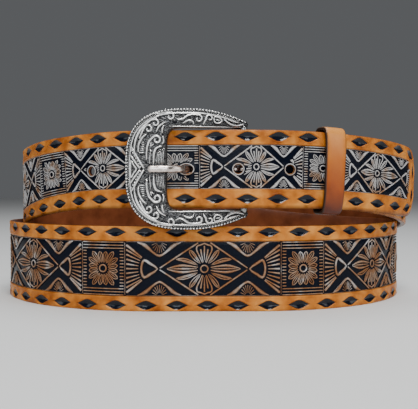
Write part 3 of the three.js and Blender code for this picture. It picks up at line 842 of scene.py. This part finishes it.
def panel_places():
    """Centre, and stretch before and after it, of the panels that show, as two lists: flowers, squares."""
    numbers, offsets = (np.array(column) for column in zip(*reversed(PANEL_ANCHORS)))
    middles = length_at(2 * LAP + HOLE_PLACE + offsets)
    kinds = ([], [])
    hidden_end = FOLD_END + TIP_REACH - BAR_PLACE - FLAP_COVER
    for half_number in range(2 * PANEL_ANCHORS[-1][0], 2 * PANEL_ANCHORS[0][0]):
        before, centre, after = np.interp(half_number / 2 + np.array([-0.5, 0.0, 0.5]), numbers, middles)
        stretch = (1.0, 1.0)
        if half_number % 2 == 0:
            stretch = [(reach - SQUARE_HALF) / PANEL_HALF for reach in (centre - before, after - centre)]
        if hidden_end < centre < TOTAL + PAST_TIP:
            kinds[half_number % 2].append((centre, *stretch))
    return kinds


def spread_tree():
    """Sets a panel at each point."""
    tree, given = geometry_tree("spread_panels", Panel="NodeSocketObject")
    panels = {"Points": given["Geometry"], "Instance": shape_of(tree, given["Panel"])}
    spread = add_node(tree, "GeometryNodeInstanceOnPoints", {}, panels)
    return end_tree(tree, add_node(tree, "GeometryNodeRealizeInstances", {}, [spread]))


def ridge_tree():
    """Sweeps a rounded ridge of the given half width and rise along every chain of edges."""
    tree, given = geometry_tree("raise_ridges", Ground="NodeSocketFloat", Section="NodeSocketObject")
    half_width = stored(tree, "half_width")
    chains = add_node(tree, "GeometryNodeMeshToCurve", {}, [given["Geometry"]])
    chains = add_node(tree, "GeometryNodeSetCurveNormal", {"mode": "Z_UP"}, {"Curve": chains})
    profile = add_node(tree, "GeometryNodeMeshToCurve", {}, [shape_of(tree, given["Section"])])
    swept = add_node(tree, "GeometryNodeCurveToMesh", {},
                     {"Curve": chains, "Profile Curve": profile, "Scale": half_width, "Fill Caps": True})
    x, y, depth = parts_of(add_node(tree, "GeometryNodeInputPosition"))
    up = -depth / half_width
    marked = add_node(tree, "GeometryNodeStoreNamedAttribute", {"data_type": "FLOAT", "domain": "POINT"},
                      {"Geometry": swept, "Name": "rub", "Value": up})
    spot = add_node(tree, "ShaderNodeCombineXYZ", {}, [x, y, up * stored(tree, "rise") + given["Ground"]])
    return end_tree(tree, add_node(tree, "GeometryNodeSetPosition", {}, {0: marked, 2: spot}))


RIDGE_SECTION = [(-1.0, -0.3, 0), (-0.68, 0.62, 0), (0.0, 1.0, 0), (0.68, 0.62, 0), (1.0, -0.3, 0)]
section_object = mesh_object("ridge_section", RIDGE_SECTION, [(i, (i + 1) % 5) for i in range(5)])
RAISE_RIDGES = ridge_tree()


def raise_ridges(obj, ground):
    return run_tree(obj, RAISE_RIDGES, {"Ground": ground, "Section": section_object})


def read_floats(data, attribute, size=1):
    values = np.empty(len(data) * size)
    data.foreach_get(attribute, values)
    return values


# The drawing is stretched along the strap from panel to panel, fitted to the band's height, and left out at
# the holes and past the band's end
drawn_points, drawn_edges, drawn_values = [], [], {"half_width": [], "rise": []}
for kind, places, panel in zip(("flowers", "squares"), panel_places(), (flower_panel(), square_panel())):
    spread = mesh_object(kind, [(centre * MM, 0, 0) for centre, before, after in places], [])
    run_tree(spread, spread_tree(), {"Panel": panel})
    centre, before, after = np.repeat(np.array(places), len(panel.data.vertices), axis=0).T
    coords = read_floats(spread.data.vertices, "co", 3).reshape(-1, 3) / MM
    offset = coords[:, 0] - centre
    coords[:, 0] = centre + offset * np.where(offset < 0, before, after)
    first = len(drawn_points)
    drawn_points.extend(coords)
    drawn_edges += [(first + e.vertices[0], first + e.vertices[1]) for e in spread.data.edges]
    for label, values in drawn_values.items():
        values.extend(read_floats(spread.data.attributes[label].data, "value"))
    for obj in (panel, spread):
        bpy.data.objects.remove(obj)
drawn_points = np.array(drawn_points)
half = half_width(drawn_points[:, 0])
top, bottom = half - border_width(drawn_points[:, 0], 0), border_width(drawn_points[:, 0], 1) - half
fit = (top - bottom) / 2 / BAND_HALF
drawn_points[:, 1] = (top + bottom) / 2 + drawn_points[:, 1] * fit
keep = (drawn_points[:, 0] < TOTAL - TIP_MARGIN) & (fit > 0.3)
for hole, stretch in zip(hole_lengths, hole_stretches):
    along = (drawn_points[:, 0] - hole) / stretch
    keep &= np.hypot(along, drawn_points[:, 1]) > HOLE_RADIUS + HOLE_MARGIN
number_of = np.cumsum(keep) - 1
kept_edges = [(int(number_of[a]), int(number_of[b])) for a, b in drawn_edges if keep[a] and keep[b]]
size_fit = 0.35 + 0.65 * np.clip(fit, 0.4, 1.0)
drawn_values = {label: (np.array(values) * size_fit)[keep] for label, values in drawn_values.items()}
drawn_points = drawn_points[keep]

# A raised lip round every hole
turns = np.arange(HOLE_LIP_POINTS) / HOLE_LIP_POINTS * 2 * math.pi
for hole, stretch in zip(hole_lengths, hole_stretches):
    first = len(drawn_points)
    lip = np.stack([hole + (HOLE_RADIUS * stretch + HOLE_LIP) * np.cos(turns),
                    (HOLE_RADIUS + HOLE_LIP) * np.sin(turns), turns * 0], axis=1)
    drawn_points = np.concatenate([drawn_points, lip])
    kept_edges += [(first + i, first + (i + 1) % HOLE_LIP_POINTS) for i in range(HOLE_LIP_POINTS)]
    for label, size in (("half_width", HOLE_LIP_HALF), ("rise", HOLE_LIP_RISE)):
        drawn_values[label] = np.append(drawn_values[label], np.full(HOLE_LIP_POINTS, size * MM))

tooling = mesh_object("strap_tooling", drawn_points * MM, kept_edges, **drawn_values)
raise_ridges(tooling, FLOOR * MM)


def ridge_finish():
    """The standing lines: dyed black in their flanks and rubbed bare on their backs to a patchy
    copper-to-silver tone, with painted light that makes them paler and silver-grey on the upper turn and
    copper on the lower.
    """
    finish = Finish("leather_ridges")
    patches, wear = finish.noise(150.0, 3.0), finish.noise(1400.0, 2.0)
    # Random worn patches plus painted light: the ridges turn paler and greyer with height, so the upper
    # turn reads silver-grey and the lower copper
    pale = patches + (parts_of(finish.place)[2] - 0.047) * 4.0
    worn_tone_and_painted_light = finish.ramp(pale, (0.3, (0.29, 0.122, 0.044)), (0.45, (0.37, 0.235, 0.15)),
                       (0.6, (0.52, 0.5, 0.49)))
    bare = (finish.attribute("rub") * 1.7 + wear * 0.6 - 1.05).soft_clamp()
    return finish.made({
        "Base Color": finish.mix(bare, (0.006, 0.006, 0.009), worn_tone_and_painted_light),
        "Roughness": bare * 0.12 + 0.22,
        "Specular IOR Level": 0.25,
        "Normal": finish.bump(wear, 0.2, 0.0002),
    })


lay_on_strap(tooling, ridge_finish())
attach(tooling, "root")


# Buckle: one zinc casting, a C-shaped frame bowed over the strap with its bar in one piece, plated with
# silver and then blackened, so that only what stands proud is bright: a beaded rim, nested chevrons at the
# left and scrolling leaves all round. It is drawn flat, as x along the strap, z up from its middle and
# level out of the strap's face, in millimetres, and then set in its place.
FRAME_LENGTH, FRAME_HEIGHT, FRAME_THICKNESS = 60.0, 59.0, 4.2
FRAME_SIDE_WIDTH, FRAME_SEAT = 20.5, 18.5
FRAME_ROUNDNESS, WINDOW_ROUNDNESS = 2.9, 6.0
ARM_END_STEPS, ARM_STEPS, SIDE_STEPS = 8, 26, 45
BEAD_PITCH, CORD_PITCH = 1.52, 0.9
STROKE_WIDTH, STROKE_RISE = 1.18, 1.1
ARM_LENGTH, ARM_END_WIDTH = 25.5, 4.4
FRAME_LEFT = BAR_PLACE + ARM_END_WIDTH / 2 - FRAME_LENGTH
WINDOW_LEFT = FRAME_LEFT + FRAME_SIDE_WIDTH
SEAT_PLACE = FRAME_LEFT + FRAME_SEAT
FRAME_CENTRE = BAR_PLACE - ARM_LENGTH
WINDOW_HALF = END_WIDTH / 2 + 0.7
RIM_WIDTH, LIP_WIDTH = 1.9, 0.8
# Section: mm of rim passed, share of the middle passed, mm of inner lip passed, share of the thickness
FRAME_ROWS = [
    (0.0, 0, 0, 0.12), (0.0, 0, 0, 0.42), (0.06, 0, 0, 0.6), (0.3, 0, 0, 0.68), (0.62, 0, 0, 0.68),
    (0.82, 0, 0, 0.6), (1.0, 0, 0, 0.8), (1.0, 0.08, 0, 0.93), (1.0, 0.3, 0, 1.02), (1.0, 0.6, 0, 1.03),
    (1.0, 0.85, 0, 0.96), (1.0, 1, 0, 0.86), (1.0, 1, 0.45, 0.76), (1.0, 1, 0.85, 0.6), (1.0, 1, 1, 0.42),
    (1.0, 1, 1, 0.12), (1.0, 1, 0.8, 0.0), (1.0, 0.66, 0, 0.0), (1.0, 0.33, 0, 0.0), (0.15, 0, 0, 0.0),
]


def frame_drop(x):
    """How far back the frame lies: it follows the strap left of its seat and bows down to the bar."""
    if x < SEAT_PLACE:
        return plan_at(x, 0)[1] - plan_at(SEAT_PLACE, 0)[1]
    seat = TOUCH + FRAME_THICKNESS / 2
    return (seat - BAR_LEVEL) * ((x - SEAT_PLACE) / (BAR_PLACE - SEAT_PLACE)) ** 2


def frame_edges():
    """Outer and inner edge points from the lower arm's end round the left side to the upper arm's."""
    half, end_radius = FRAME_HEIGHT / 2, ARM_END_WIDTH / 2

    def rounded(width, height, power, turn):
        c, s = math.cos(turn), math.sin(turn)
        radius = ((abs(c) / width) ** power + (abs(s) / height) ** power) ** (-1 / power)
        return FRAME_CENTRE + radius * c, radius * s

    upper = []
    for i in range(ARM_END_STEPS):
        turn = math.radians(4 + 86 * i / ARM_END_STEPS)
        x, width = BAR_PLACE + end_radius * math.cos(turn), end_radius * math.sin(turn)
        upper.append(((x, WINDOW_HALF + end_radius + width), (x, WINDOW_HALF + end_radius - width)))
    for i in range(ARM_STEPS):
        share = 1 - i / ARM_STEPS
        x = FRAME_CENTRE + ARM_LENGTH * share
        outer = half - (half - WINDOW_HALF - ARM_END_WIDTH) * share**2
        upper.append(((x, outer), (x, WINDOW_HALF)))
    for i in range(SIDE_STEPS):
        turn = math.pi / 2 * (1 + i / SIDE_STEPS)
        upper.append((rounded(FRAME_CENTRE - FRAME_LEFT, half, FRAME_ROUNDNESS, turn),
                      rounded(FRAME_CENTRE - WINDOW_LEFT, WINDOW_HALF, WINDOW_ROUNDNESS, turn)))
    lower = [((ox, -oz), (ix, -iz)) for (ox, oz), (ix, iz) in upper]
    return np.array([*lower, ((FRAME_LEFT, 0), (WINDOW_LEFT, 0)), *reversed(upper)])


def closed_ends(rings):
    """Faces of a tube of point rings, with both ends closed."""
    count, size = len(rings), len(rings[0])
    faces = [(i * size + k, i * size + (k + 1) % size, (i + 1) * size + (k + 1) % size, (i + 1) * size + k)
             for i in range(count - 1) for k in range(size)]
    return faces + [tuple(range(size))[::-1], tuple((count - 1) * size + k for k in range(size))]


def set_in_place(points):
    """Flat buckle points (x, z, level) as points of the belt, in metres."""
    x, z, level = np.asarray(points, float).T
    return np.stack([x + SHIFT[0], SHIFT[1] - level, UPPER_HEIGHT + z], axis=1) * MM


def solid_piece(name, points, faces, finish, **columns):
    """A smooth closed piece from flat buckle points, with its finish."""
    obj = mesh_object(name, set_in_place(points), [], faces, **columns)
    close_shell(obj.data)
    obj.data.shade_smooth()
    obj.data.materials.append(finish)
    return obj


edges_of_frame = frame_edges()
casting = []
for outer, inner in edges_of_frame:
    width = np.linalg.norm(inner - outer)
    rim, lip = min(RIM_WIDTH, width * 0.3), min(LIP_WIDTH, width * 0.2)
    for rim_share, share, lip_share, rise in FRAME_ROWS:
        across = rim * rim_share + (width - rim - lip) * share + lip * lip_share
        x, z = outer + (inner - outer) * across / max(width, 1e-6)
        casting.append((x, z, TOUCH + FRAME_THICKNESS * rise - frame_drop(x)))
casting_faces = closed_ends(np.reshape(casting, (-1, len(FRAME_ROWS), 3)))
surface = BVHTree.FromPolygons([Vector(point) for point in casting], casting_faces)

bar_ring = [(BAR_RADIUS * math.cos(t), BAR_RADIUS * math.sin(t))
            for t in np.linspace(0, 2 * math.pi, 24, False)]
bar_start = len(casting)
for z in (-WINDOW_HALF - ARM_END_WIDTH / 2, -WINDOW_HALF, WINDOW_HALF, WINDOW_HALF + ARM_END_WIDTH / 2):
    casting += [(BAR_PLACE + x, z, BAR_LEVEL + level) for x, level in bar_ring]
casting_faces += [tuple(bar_start + i for i in face) for face in closed_ends([bar_ring] * 4)]


def spiral(centre, turns_from, turns_to, large, small, half, count=16):
    """Points of a scroll that winds in, with angles in degrees."""
    spots = []
    for t in np.linspace(0, 1, count):
        angle = math.radians(turns_from + (turns_to - turns_from) * t)
        radius = large + (small - large) * t
        spots.append((centre[0] + radius * math.cos(angle), centre[1] + radius * math.sin(angle),
                      half * (1 - 0.35 * t)))
    return spots


def rim_path(inset):
    """The outer edge moved inward by a distance, with the length run at each of its points."""
    outer, inner = edges_of_frame[:, 0], edges_of_frame[:, 1]
    direction = np.gradient(outer, axis=0)
    direction /= np.linalg.norm(direction, axis=1)[:, None]
    inward = np.stack([direction[:, 1], -direction[:, 0]], axis=1)
    left = len(outer) // 2
    path = outer + inward * math.copysign(inset, np.dot(inward[left], inner[left] - outer[left]))
    return path, np.concatenate([[0], np.cumsum(np.linalg.norm(np.diff(path, axis=0), axis=1))])


def buckle_drawing():
    """The raised work of the buckle; what is drawn for the upper half is mirrored to the lower."""
    drawing = Drawing()
    ridge = drawing.ridge
    # Beaded rim, the twisted cord inside it and the plain rail inside that
    path, run = rim_path(0.62)
    count = int((run[-1] - 3.0) // BEAD_PITCH)
    for k in range(count + 1):
        middle = 1.5 + (run[-1] - 3.0) * k / count
        spots = [tuple(np.interp(middle + step, run, path[:, i]) for i in (0, 1)) + (half,)
                 for step, half in ((-0.58, 0.12), (-0.34, 0.43), (0, 0.56), (0.34, 0.43), (0.58, 0.12))]
        ridge(spots, 5, 0.7)
    near, run = rim_path(1.25)
    far = rim_path(1.8)[0]
    for k in range(int((run[-1] - 6) // CORD_PITCH)):
        middle = 3.0 + CORD_PITCH * k
        ends = [[float(np.interp(middle + step, run, line[:, i])) for i in (0, 1)]
                for line, step in ((near, 0.0), (far, 0.45))]
        ridge([(*ends[0], 0.13), (*ends[1], 0.16)], 2, 0.3)
    path, run = rim_path(2.4)
    inside = (run > 4) & (run < run[-1] - 4)
    ridge([(*spot, 0.4) for spot in path[inside]], int(inside.sum()), 0.6)
    # Nested chevrons and triangle at the left
    ridge([(-37.0, 10.9, 0.4), (-33.9, 5.4, 0.55), (-30.8, 0.35, 0.5)], 6, 0.75, "y")
    ridge([(-37.6, 7.1, 0.4), (-35.2, 3.5, 0.5), (-32.7, 0.3, 0.45)], 5, 0.7, "y")
    ridge([(-37.2, 4.1, 0.35), (-35.8, 1.9, 0.45), (-34.5, 0.0, 0.45), (-35.8, -1.9, 0.45),
           (-37.2, -4.1, 0.35), (-37.35, 0.0, 0.4)], 16, 0.7, closed=True)
    for k in range(7):
        x, z = -36.9 + 4.9 * k / 6.6, 9.0 - 8.6 * k / 6.6
        ridge([(x - 0.24, z + 0.4, 0.12), (x, z, 0.38), (x + 0.24, z - 0.4, 0.12)], 5, 0.55, "y")
    # Long crescent that hugs the rim
    ridge([(-35.3, 6.2, 0.25), (-35.4, 11.0, 0.45), (-34.3, 15.6, 0.65), (-31.7, 19.9, 0.75),
           (-27.9, 23.3, 0.7), (-22.9, 25.9, 0.35)], 16, 0.85, "y")
    # Scrolls with their stems
    ridge([(-33.0, 14.6, 0.25), (-31.8, 17.6, 0.5), *spiral((-28.6, 19.3), 165, -200, 2.1, 0.7, 0.58)], 26,
           0.8, "y")
    ridge([(-30.9, 22.1, 0.25), (-28.2, 23.4, 0.5), *spiral((-25.3, 22.1), 120, -210, 1.9, 0.6, 0.55)], 24,
           0.8, "y")
    ridge([(-24.6, 26.2, 0.25), (-21.8, 27.1, 0.5), *spiral((-18.1, 25.3), 125, -215, 2.2, 0.7, 0.6)], 24,
           0.8, "y")
    ridge([(-29.5, 4.6, 0.3), (-29.4, 9.4, 0.5), (-28.3, 13.4, 0.6),
           *spiral((-24.6, 14.0), 130, -215, 2.1, 0.8, 0.68)], 28, 0.9, "y")
    ridge([(-27.2, 12.9, 0.2), (-27.5, 11.0, 0.4), (-26.0, 12.0, 0.2)], 6, 0.6, "y")
    # Leaf with a ladder of veins, inner stem and small leaves
    ridge([(-33.5, 8.3, 0.3), (-33.4, 11.7, 0.5), (-31.6, 15.1, 0.55), (-29.6, 16.7, 0.25)], 9, 0.75, "y")
    ridge([(-33.2, 7.9, 0.35), (-30.7, 7.9, 0.35)], 3, 0.6, "y")
    for k in range(5):
        ridge([(-32.6 + 0.25 * k, 9.0 + 0.95 * k, 0.27), (-30.7, 9.0 + 0.95 * k, 0.27)], 2, 0.5, "y")
    ridge([(-26.1, 2.6, 0.3), (-26.0, 7.0, 0.6), (-24.9, 10.0, 0.6), (-22.0, 11.1, 0.25)], 10, 0.8, "y")
    for k in range(5):
        x, high = -24.6 + 0.75 * k, 8.2 + 0.4 * k
        ridge([(x, 2.3, 0.1), (x + 0.1, high / 2 + 1, 0.17), (x + 0.5, high, 0.08)], 4, 0.3, "y")
    ridge([(-28.0, 2.6, 0.15), (-27.9, 6.0, 0.24), (-27.5, 9.4, 0.12)], 4, 0.4, "y")
    ridge([(-20.3, 22.6, 0.25), (-23.4, 20.6, 0.5), (-24.8, 17.9, 0.3)], 7, 0.7, "y")
    ridge([(-21.2, 20.9, 0.25), (-21.9, 19.2, 0.45), (-22.0, 17.2, 0.25)], 6, 0.65, "y")
    ridge([(-21.6, 15.6, 0.25), (-21.3, 13.6, 0.4), (-21.8, 12.0, 0.2)], 5, 0.55, "y")
    ridge([(-29.9, 24.6, 0.2), (-26.6, 26.7, 0.4), (-22.6, 26.8, 0.2)], 6, 0.5, "y")
    # Arms: running scrolls and a leaf at the end
    ridge([(-15.6, 24.6, 0.25), (-13.0, 23.6, 0.5), (-10.2, 25.6, 0.55), (-7.4, 26.4, 0.5),
           *spiral((-4.5, 24.3), 110, -220, 2.0, 0.65, 0.56)], 28, 0.8, "y")
    ridge([(-13.6, 26.6, 0.2), (-11.4, 26.9, 0.4), (-9.2, 26.7, 0.2)], 5, 0.5, "y")
    ridge([(-12.2, 22.0, 0.2), (-9.6, 23.4, 0.45), (-7.4, 23.1, 0.4), (-6.9, 21.6, 0.2)], 8, 0.65, "y")
    ridge([(-2.3, 21.5, 0.25), (-1.2, 23.6, 0.5), *spiral((0.9, 24.6), 200, -130, 1.9, 0.6, 0.56)], 24, 0.8,
           "y")
    ridge([(3.2, 25.2, 0.3), (5.6, 24.9, 0.4), (6.8, 23.4, 0.4), (5.2, 22.2, 0.45), (3.3, 22.8, 0.4)], 14,
           0.7, "y", closed=True)
    ridge([(3.9, 23.9, 0.3), (5.8, 23.6, 0.3)], 3, 0.5, "y")
    ridge([(7.9, 24.2, 0.3), (10.0, 22.4, 0.5), (12.6, 21.2, 0.6), (15.2, 21.2, 0.5), (17.6, 22.1, 0.25)],
           11, 0.75, "y")
    ridge([(9.6, 24.3, 0.2), (12.0, 23.3, 0.4), (15.2, 22.6, 0.2)], 6, 0.6, "y")
    ridge([(-18.6, 20.6, 0.15), (-10.0, 20.5, 0.3), (0.0, 20.45, 0.3), (10.0, 20.4, 0.3),
           (16.5, 20.5, 0.15)], 17, 0.4, "y")
    strokes = (1, 1, STROKE_WIDTH, STROKE_RISE)
    drawing.chains = [(path * strokes, closed) for path, closed in drawing.chains]
    return drawing.made("buckle_relief")


relief = raise_ridges(buckle_drawing(), 0.0)
relief_rub = read_floats(relief.data.attributes["rub"].data, "value")
relief_points = []
for vertex in relief.data.vertices:
    x, z, out = (value / MM for value in vertex.co)
    hit = surface.ray_cast(Vector((x, z, 30)), Vector((0, 0, -1)))[0]
    level = hit.z if hit else surface.find_nearest(Vector((x, z, 3)))[0].z
    relief_points.append((x, z, level + out))
relief_faces = [tuple(face.vertices) for face in relief.data.polygons]
for obj in (relief, section_object):
    bpy.data.objects.remove(obj)


def silver_finish(name, bright):
    """Silver plate: blackened and engraved on the ground, bright on the backs of the raised work."""
    finish = Finish(name)
    cloud = finish.noise(600.0, 4.0)
    if bright:
        clean = (finish.attribute("rub") * 1.6 + cloud * 0.5 - 0.65).soft_clamp()
        silver, metallic, bump = (0.95, 0.94, 0.92), 0.78, finish.bump(cloud, 0.15, 0.0003)
    else:
        plain = finish.attribute("plain")
        engraving = add_node(finish.tree, "ShaderNodeTexWave", {"wave_type": "RINGS"},
                             {"Vector": finish.place, "Scale": 420.0, "Distortion": 14.0, "Detail": 2.0,
                              "Detail Scale": 1.5}, 1)
        clean = (engraving * 0.75 + cloud * 0.5 - 0.45).math("SMOOTH_MAX", 0.0, 0.1)
        clean = (clean + plain * (cloud + 0.5)).math("SMOOTH_MIN", 1.0, 0.1)
        silver, metallic, bump = (0.3, 0.3, 0.3), 1.0, finish.bump(engraving * (1 - plain), 0.6, 0.0003)
    return finish.made({
        "Base Color": finish.mix(clean, (0.012, 0.012, 0.014), silver),
        "Metallic": metallic,
        "Roughness": clean * -0.24 + 0.46,
        "Normal": bump,
    })


plain_back = [1.0 if row[3] <= 0.12 else 0.0 for row in FRAME_ROWS] * len(edges_of_frame)
plain_back += [1.0] * (len(casting) - len(plain_back))
buckle_casting = solid_piece("buckle_casting", casting, casting_faces,
                             silver_finish("blackened_silver", bright=False), plain=plain_back)
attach(buckle_casting, "root")
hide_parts("buckle_frame")
buckle_relief = solid_piece("buckle_relief", relief_points, relief_faces,
                            silver_finish("rubbed_silver", bright=True), rub=relief_rub)
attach(buckle_relief, "root")


# Keeper: a plain loop of glazed tan leather round both layers, its edges and its inside burnished dark
KEEPER_SIDE_PLAY, KEEPER_FACE_PLAY, KEEPER_SHAPE, KEEPER_TURNS = 1.1, 1.75, 4, 96
KEEPER_SHIFT = -0.8
# Section: along the strap, out of the loop's inner face, how burnished
KEEPER_SECTION = [
    (-5.3, 0.0, 1), (-5.68, 0.3, 1), (-5.75, 0.9, 1), (-5.64, 1.35, 1), (-5.35, 1.62, 0.8),
    (-4.95, 1.68, 0.1), (-4.6, 1.78, 0), (-2.4, 1.8, 0), (0, 1.8, 0), (2.4, 1.8, 0), (4.6, 1.78, 0),
    (4.95, 1.68, 0.1), (5.35, 1.62, 0.8), (5.64, 1.35, 1), (5.75, 0.9, 1), (5.68, 0.3, 1), (5.3, 0.0, 1),
    (0, 0.0, 0.7),
]


def glazed_finish():
    """Glazed tan leather with dark burnished edges, and painted shade that darkens it toward the bottom and
    painted light that lightens it toward the top.
    """
    finish = Finish("glazed_tan")
    cloud = finish.noise(90.0, 4.0)
    # Painted light and shade: the glaze runs from near black at the keeper's bottom to light tan at its
    # top, with a little random cloud
    height = (parts_of(finish.place)[2] - 0.047) / 0.044 + (cloud - 0.5) * 0.35
    tan = finish.ramp(height, (0.05, (0.07, 0.01, 0.002)), (0.32, (0.28, 0.055, 0.005)),
                      (0.65, (0.42, 0.11, 0.008)), (0.97, (0.6, 0.24, 0.05)))
    return finish.made({
        "Base Color": finish.mix(finish.attribute("burnish"), tan, (0.022, 0.009, 0.004)),
        "Roughness": cloud * 0.14 + 0.24,
        "Specular IOR Level": 0.2,
        "Coat Weight": 0.3,
        "Coat Roughness": 0.3,
        "Normal": finish.bump(finish.noise(1100.0, 3.0), 0.12, 0.0004),
    })


def ring_faces(first, count, size):
    """Faces of a closed ring of closed sections."""
    corners = ((0, 0), (0, 1), (1, 1), (1, 0))
    return [tuple(first + (a + i) % count * size + (b + k) % size for i, k in corners)
            for a in range(count) for b in range(size)]


def rounded_turn(angle, power):
    """Cosine and sine of an angle, drawn out toward a rounded box."""
    return (math.copysign(abs(part) ** power, part) for part in (math.cos(angle), math.sin(angle)))


keeper_length = float(length_at(2 * LAP + KEEPER_PLACE)) + KEEPER_SHIFT
half_depth = LEATHER + TOUCH / 2 + KEEPER_FACE_PLAY
half_height = END_WIDTH / 2 + KEEPER_SIDE_PLAY
keeper_points = []
for i in range(KEEPER_TURNS):
    c, s = rounded_turn(i / KEEPER_TURNS * 2 * math.pi, 2 / KEEPER_SHAPE)
    keeper_points += [(keeper_length + along, s * (half_height + wall), c * (half_depth + wall) - LAYER / 2)
                      for along, wall, burnish in KEEPER_SECTION]
keeper = mesh_object("keeper_loop", np.array(keeper_points) * MM, [],
                     ring_faces(0, KEEPER_TURNS, len(KEEPER_SECTION)),
                     burnish=[row[2] for row in KEEPER_SECTION] * KEEPER_TURNS)
lay_on_strap(keeper, glazed_finish())
close_shell(keeper.data)
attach(keeper, "root")
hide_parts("keeper")


def metal_finish(name, colour, roughness, grain, strength):
    """Bare metal with a fine uneven polish."""
    finish = Finish(name)
    cloud = finish.noise(grain, 5.0)
    worn = tuple(part * 0.55 for part in colour)
    return finish.made({
        "Base Color": finish.mix((cloud - 0.35) * 2.2, worn, colour),
        "Metallic": 1.0,
        "Roughness": cloud * 0.3 + (roughness - 0.15),
        "Normal": finish.bump(cloud, strength, 0.0004),
    })


# Prong: a cast pin that hangs on the bar by its eye, comes up through the middle hole and lies on the frame
PRONG_LINE = [
    (14.5, -4.7), (9.5, -4.9), (2.0, -4.8), (-3.5, -4.6), (-7.0, -4.1), (-10.5, -1.5), (-14.0, 3.0),
    (-18.5, 5.45), (-21.1, 6.0), (-25.0, 6.1), (-28.8, 6.1),
]
PRONG_WIDTH, PRONG_THICKNESS, PRONG_EYE, PRONG_EYE_WALL = 3.4, 2.6, 3.1, 1.6
PRONG_SIDES, EYE_TURNS, EYE_SIDES = 20, 32, 16
pin = smooth_path(PRONG_LINE, 64)
ways = np.gradient(pin, axis=0)
ways /= np.linalg.norm(ways, axis=1)[:, None]
pin_run = np.concatenate([[0], np.cumsum(np.linalg.norm(np.diff(pin, axis=0), axis=1))])
prong_points = []
for spot, way, run in zip(pin, ways, pin_run):
    from_end = min((pin_run[-1] - run) / 1.3, 1.0)
    swell = math.sqrt(1 - (1 - from_end) ** 2 * 0.86) * (1 + 0.03 * math.sin(run * 1.1))
    for t in np.linspace(0, 2 * math.pi, PRONG_SIDES, False):
        c, s = rounded_turn(t, 0.8)
        across, out = c * PRONG_WIDTH / 2 * swell, s * PRONG_THICKNESS / 2 * swell
        prong_points.append((spot[0] - way[1] * out, across, spot[1] + way[0] * out))
prong_faces = closed_ends(np.reshape(prong_points, (-1, PRONG_SIDES, 3)))
prong_faces += ring_faces(len(prong_points), EYE_TURNS, EYE_SIDES)
for turn in np.linspace(0, 2 * math.pi, EYE_TURNS, False):
    for t in np.linspace(0, 2 * math.pi, EYE_SIDES, False):
        radius = PRONG_EYE + PRONG_EYE_WALL / 2 * math.cos(t)
        prong_points.append((BAR_PLACE + radius * math.cos(turn), PRONG_WIDTH / 2 * math.sin(t),
                             BAR_LEVEL + radius * math.sin(turn)))
prong = solid_piece("prong_pin", prong_points, prong_faces,
                    metal_finish("rubbed_zinc", (0.98, 0.85, 0.77), 0.24, 420.0, 0.25))
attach(prong, "root")
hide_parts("prong")

# Fold rivets: hidden between the layers, plain dull metal
DULL_METAL = metal_finish("dull_steel", (0.5, 0.48, 0.45), 0.42, 900.0, 0.15)
for number in (1, 2):
    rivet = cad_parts[f"fold_rivet_{number}"]
    rivet.data.materials.clear()
    rivet.data.materials.append(DULL_METAL)

bpy.data.objects.remove(GUIDE)


# Floor, lights and camera: a pale sheet, large soft lamps, and the photograph's view, almost level and
# from a little above the strap's middle. Places are in metres.
floor = mesh_object("floor", [(-3, -3, 0), (3, -3, 0), (3, 3, 0), (-3, 3, 0)], [], [(0, 1, 2, 3)])
pale = {"Base Color": (0.72, 0.72, 0.71, 1.0), "Roughness": 0.6}
floor.data.materials.append(Finish("pale_floor").made(pale))


def soft_lamp(name, place, aim, size, power, colour=(1, 1, 1)):
    lamp = bpy.data.lights.new(name, "AREA")
    lamp.shape, lamp.size, lamp.size_y = "RECTANGLE", *size
    lamp.energy, lamp.color = power, colour
    obj = new_object(name, lamp)
    obj.location = place
    obj.rotation_euler = (Vector(aim) - Vector(place)).to_track_quat("-Z", "Y").to_euler()


soft_lamp("key_lamp", (0.12, -0.78, 1.2), (0, -0.05, 0.05), (0.5, 0.35), 17, (1.0, 0.98, 0.95))
soft_lamp("top_lamp", (0.15, 0.1, 1.1), (0, 0, 0.05), (1.0, 0.7), 8, (0.9, 0.95, 1.0))
soft_lamp("left_lamp", (-0.9, -0.5, 0.4), (0, 0, 0.05), (0.4, 0.5), 1.6, (0.9, 0.95, 1.0))
soft_lamp("right_lamp", (0.9, -0.5, 0.35), (0, 0, 0.05), (0.4, 0.5), 1.6)
soft_lamp("front_lamp", (0.0, -1.3, 0.37), (0, -0.05, 0.08), (0.9, 0.45), 6, (0.88, 0.94, 1.0))

world = bpy.data.worlds.new("soft_room")
world.use_nodes = True
world.node_tree.nodes["Background"].inputs[0].default_value = (0.75, 0.78, 0.82, 1.0)
world.node_tree.nodes["Background"].inputs[1].default_value = 0.14
bpy.context.scene.world = world

VIEW_PLACE = (0.0, -0.441, 0.063)
VIEW_DOWN = 1.54
# Focal length and picture width in pixels of the photograph, and the sensor's width in millimetres
VIEW_PIXELS, PICTURE_PIXELS, SENSOR = 780.0, 418, 36.0
camera_data = bpy.data.cameras.new("camera")
camera_data.sensor_fit = "HORIZONTAL"
camera_data.sensor_width = SENSOR
camera_data.lens = VIEW_PIXELS / PICTURE_PIXELS * SENSOR
camera_data.clip_start = 0.01
camera = new_object("camera", camera_data)
camera.location = VIEW_PLACE
camera.rotation_euler = (math.radians(90 - VIEW_DOWN), 0, 0)
bpy.context.scene.camera = camera
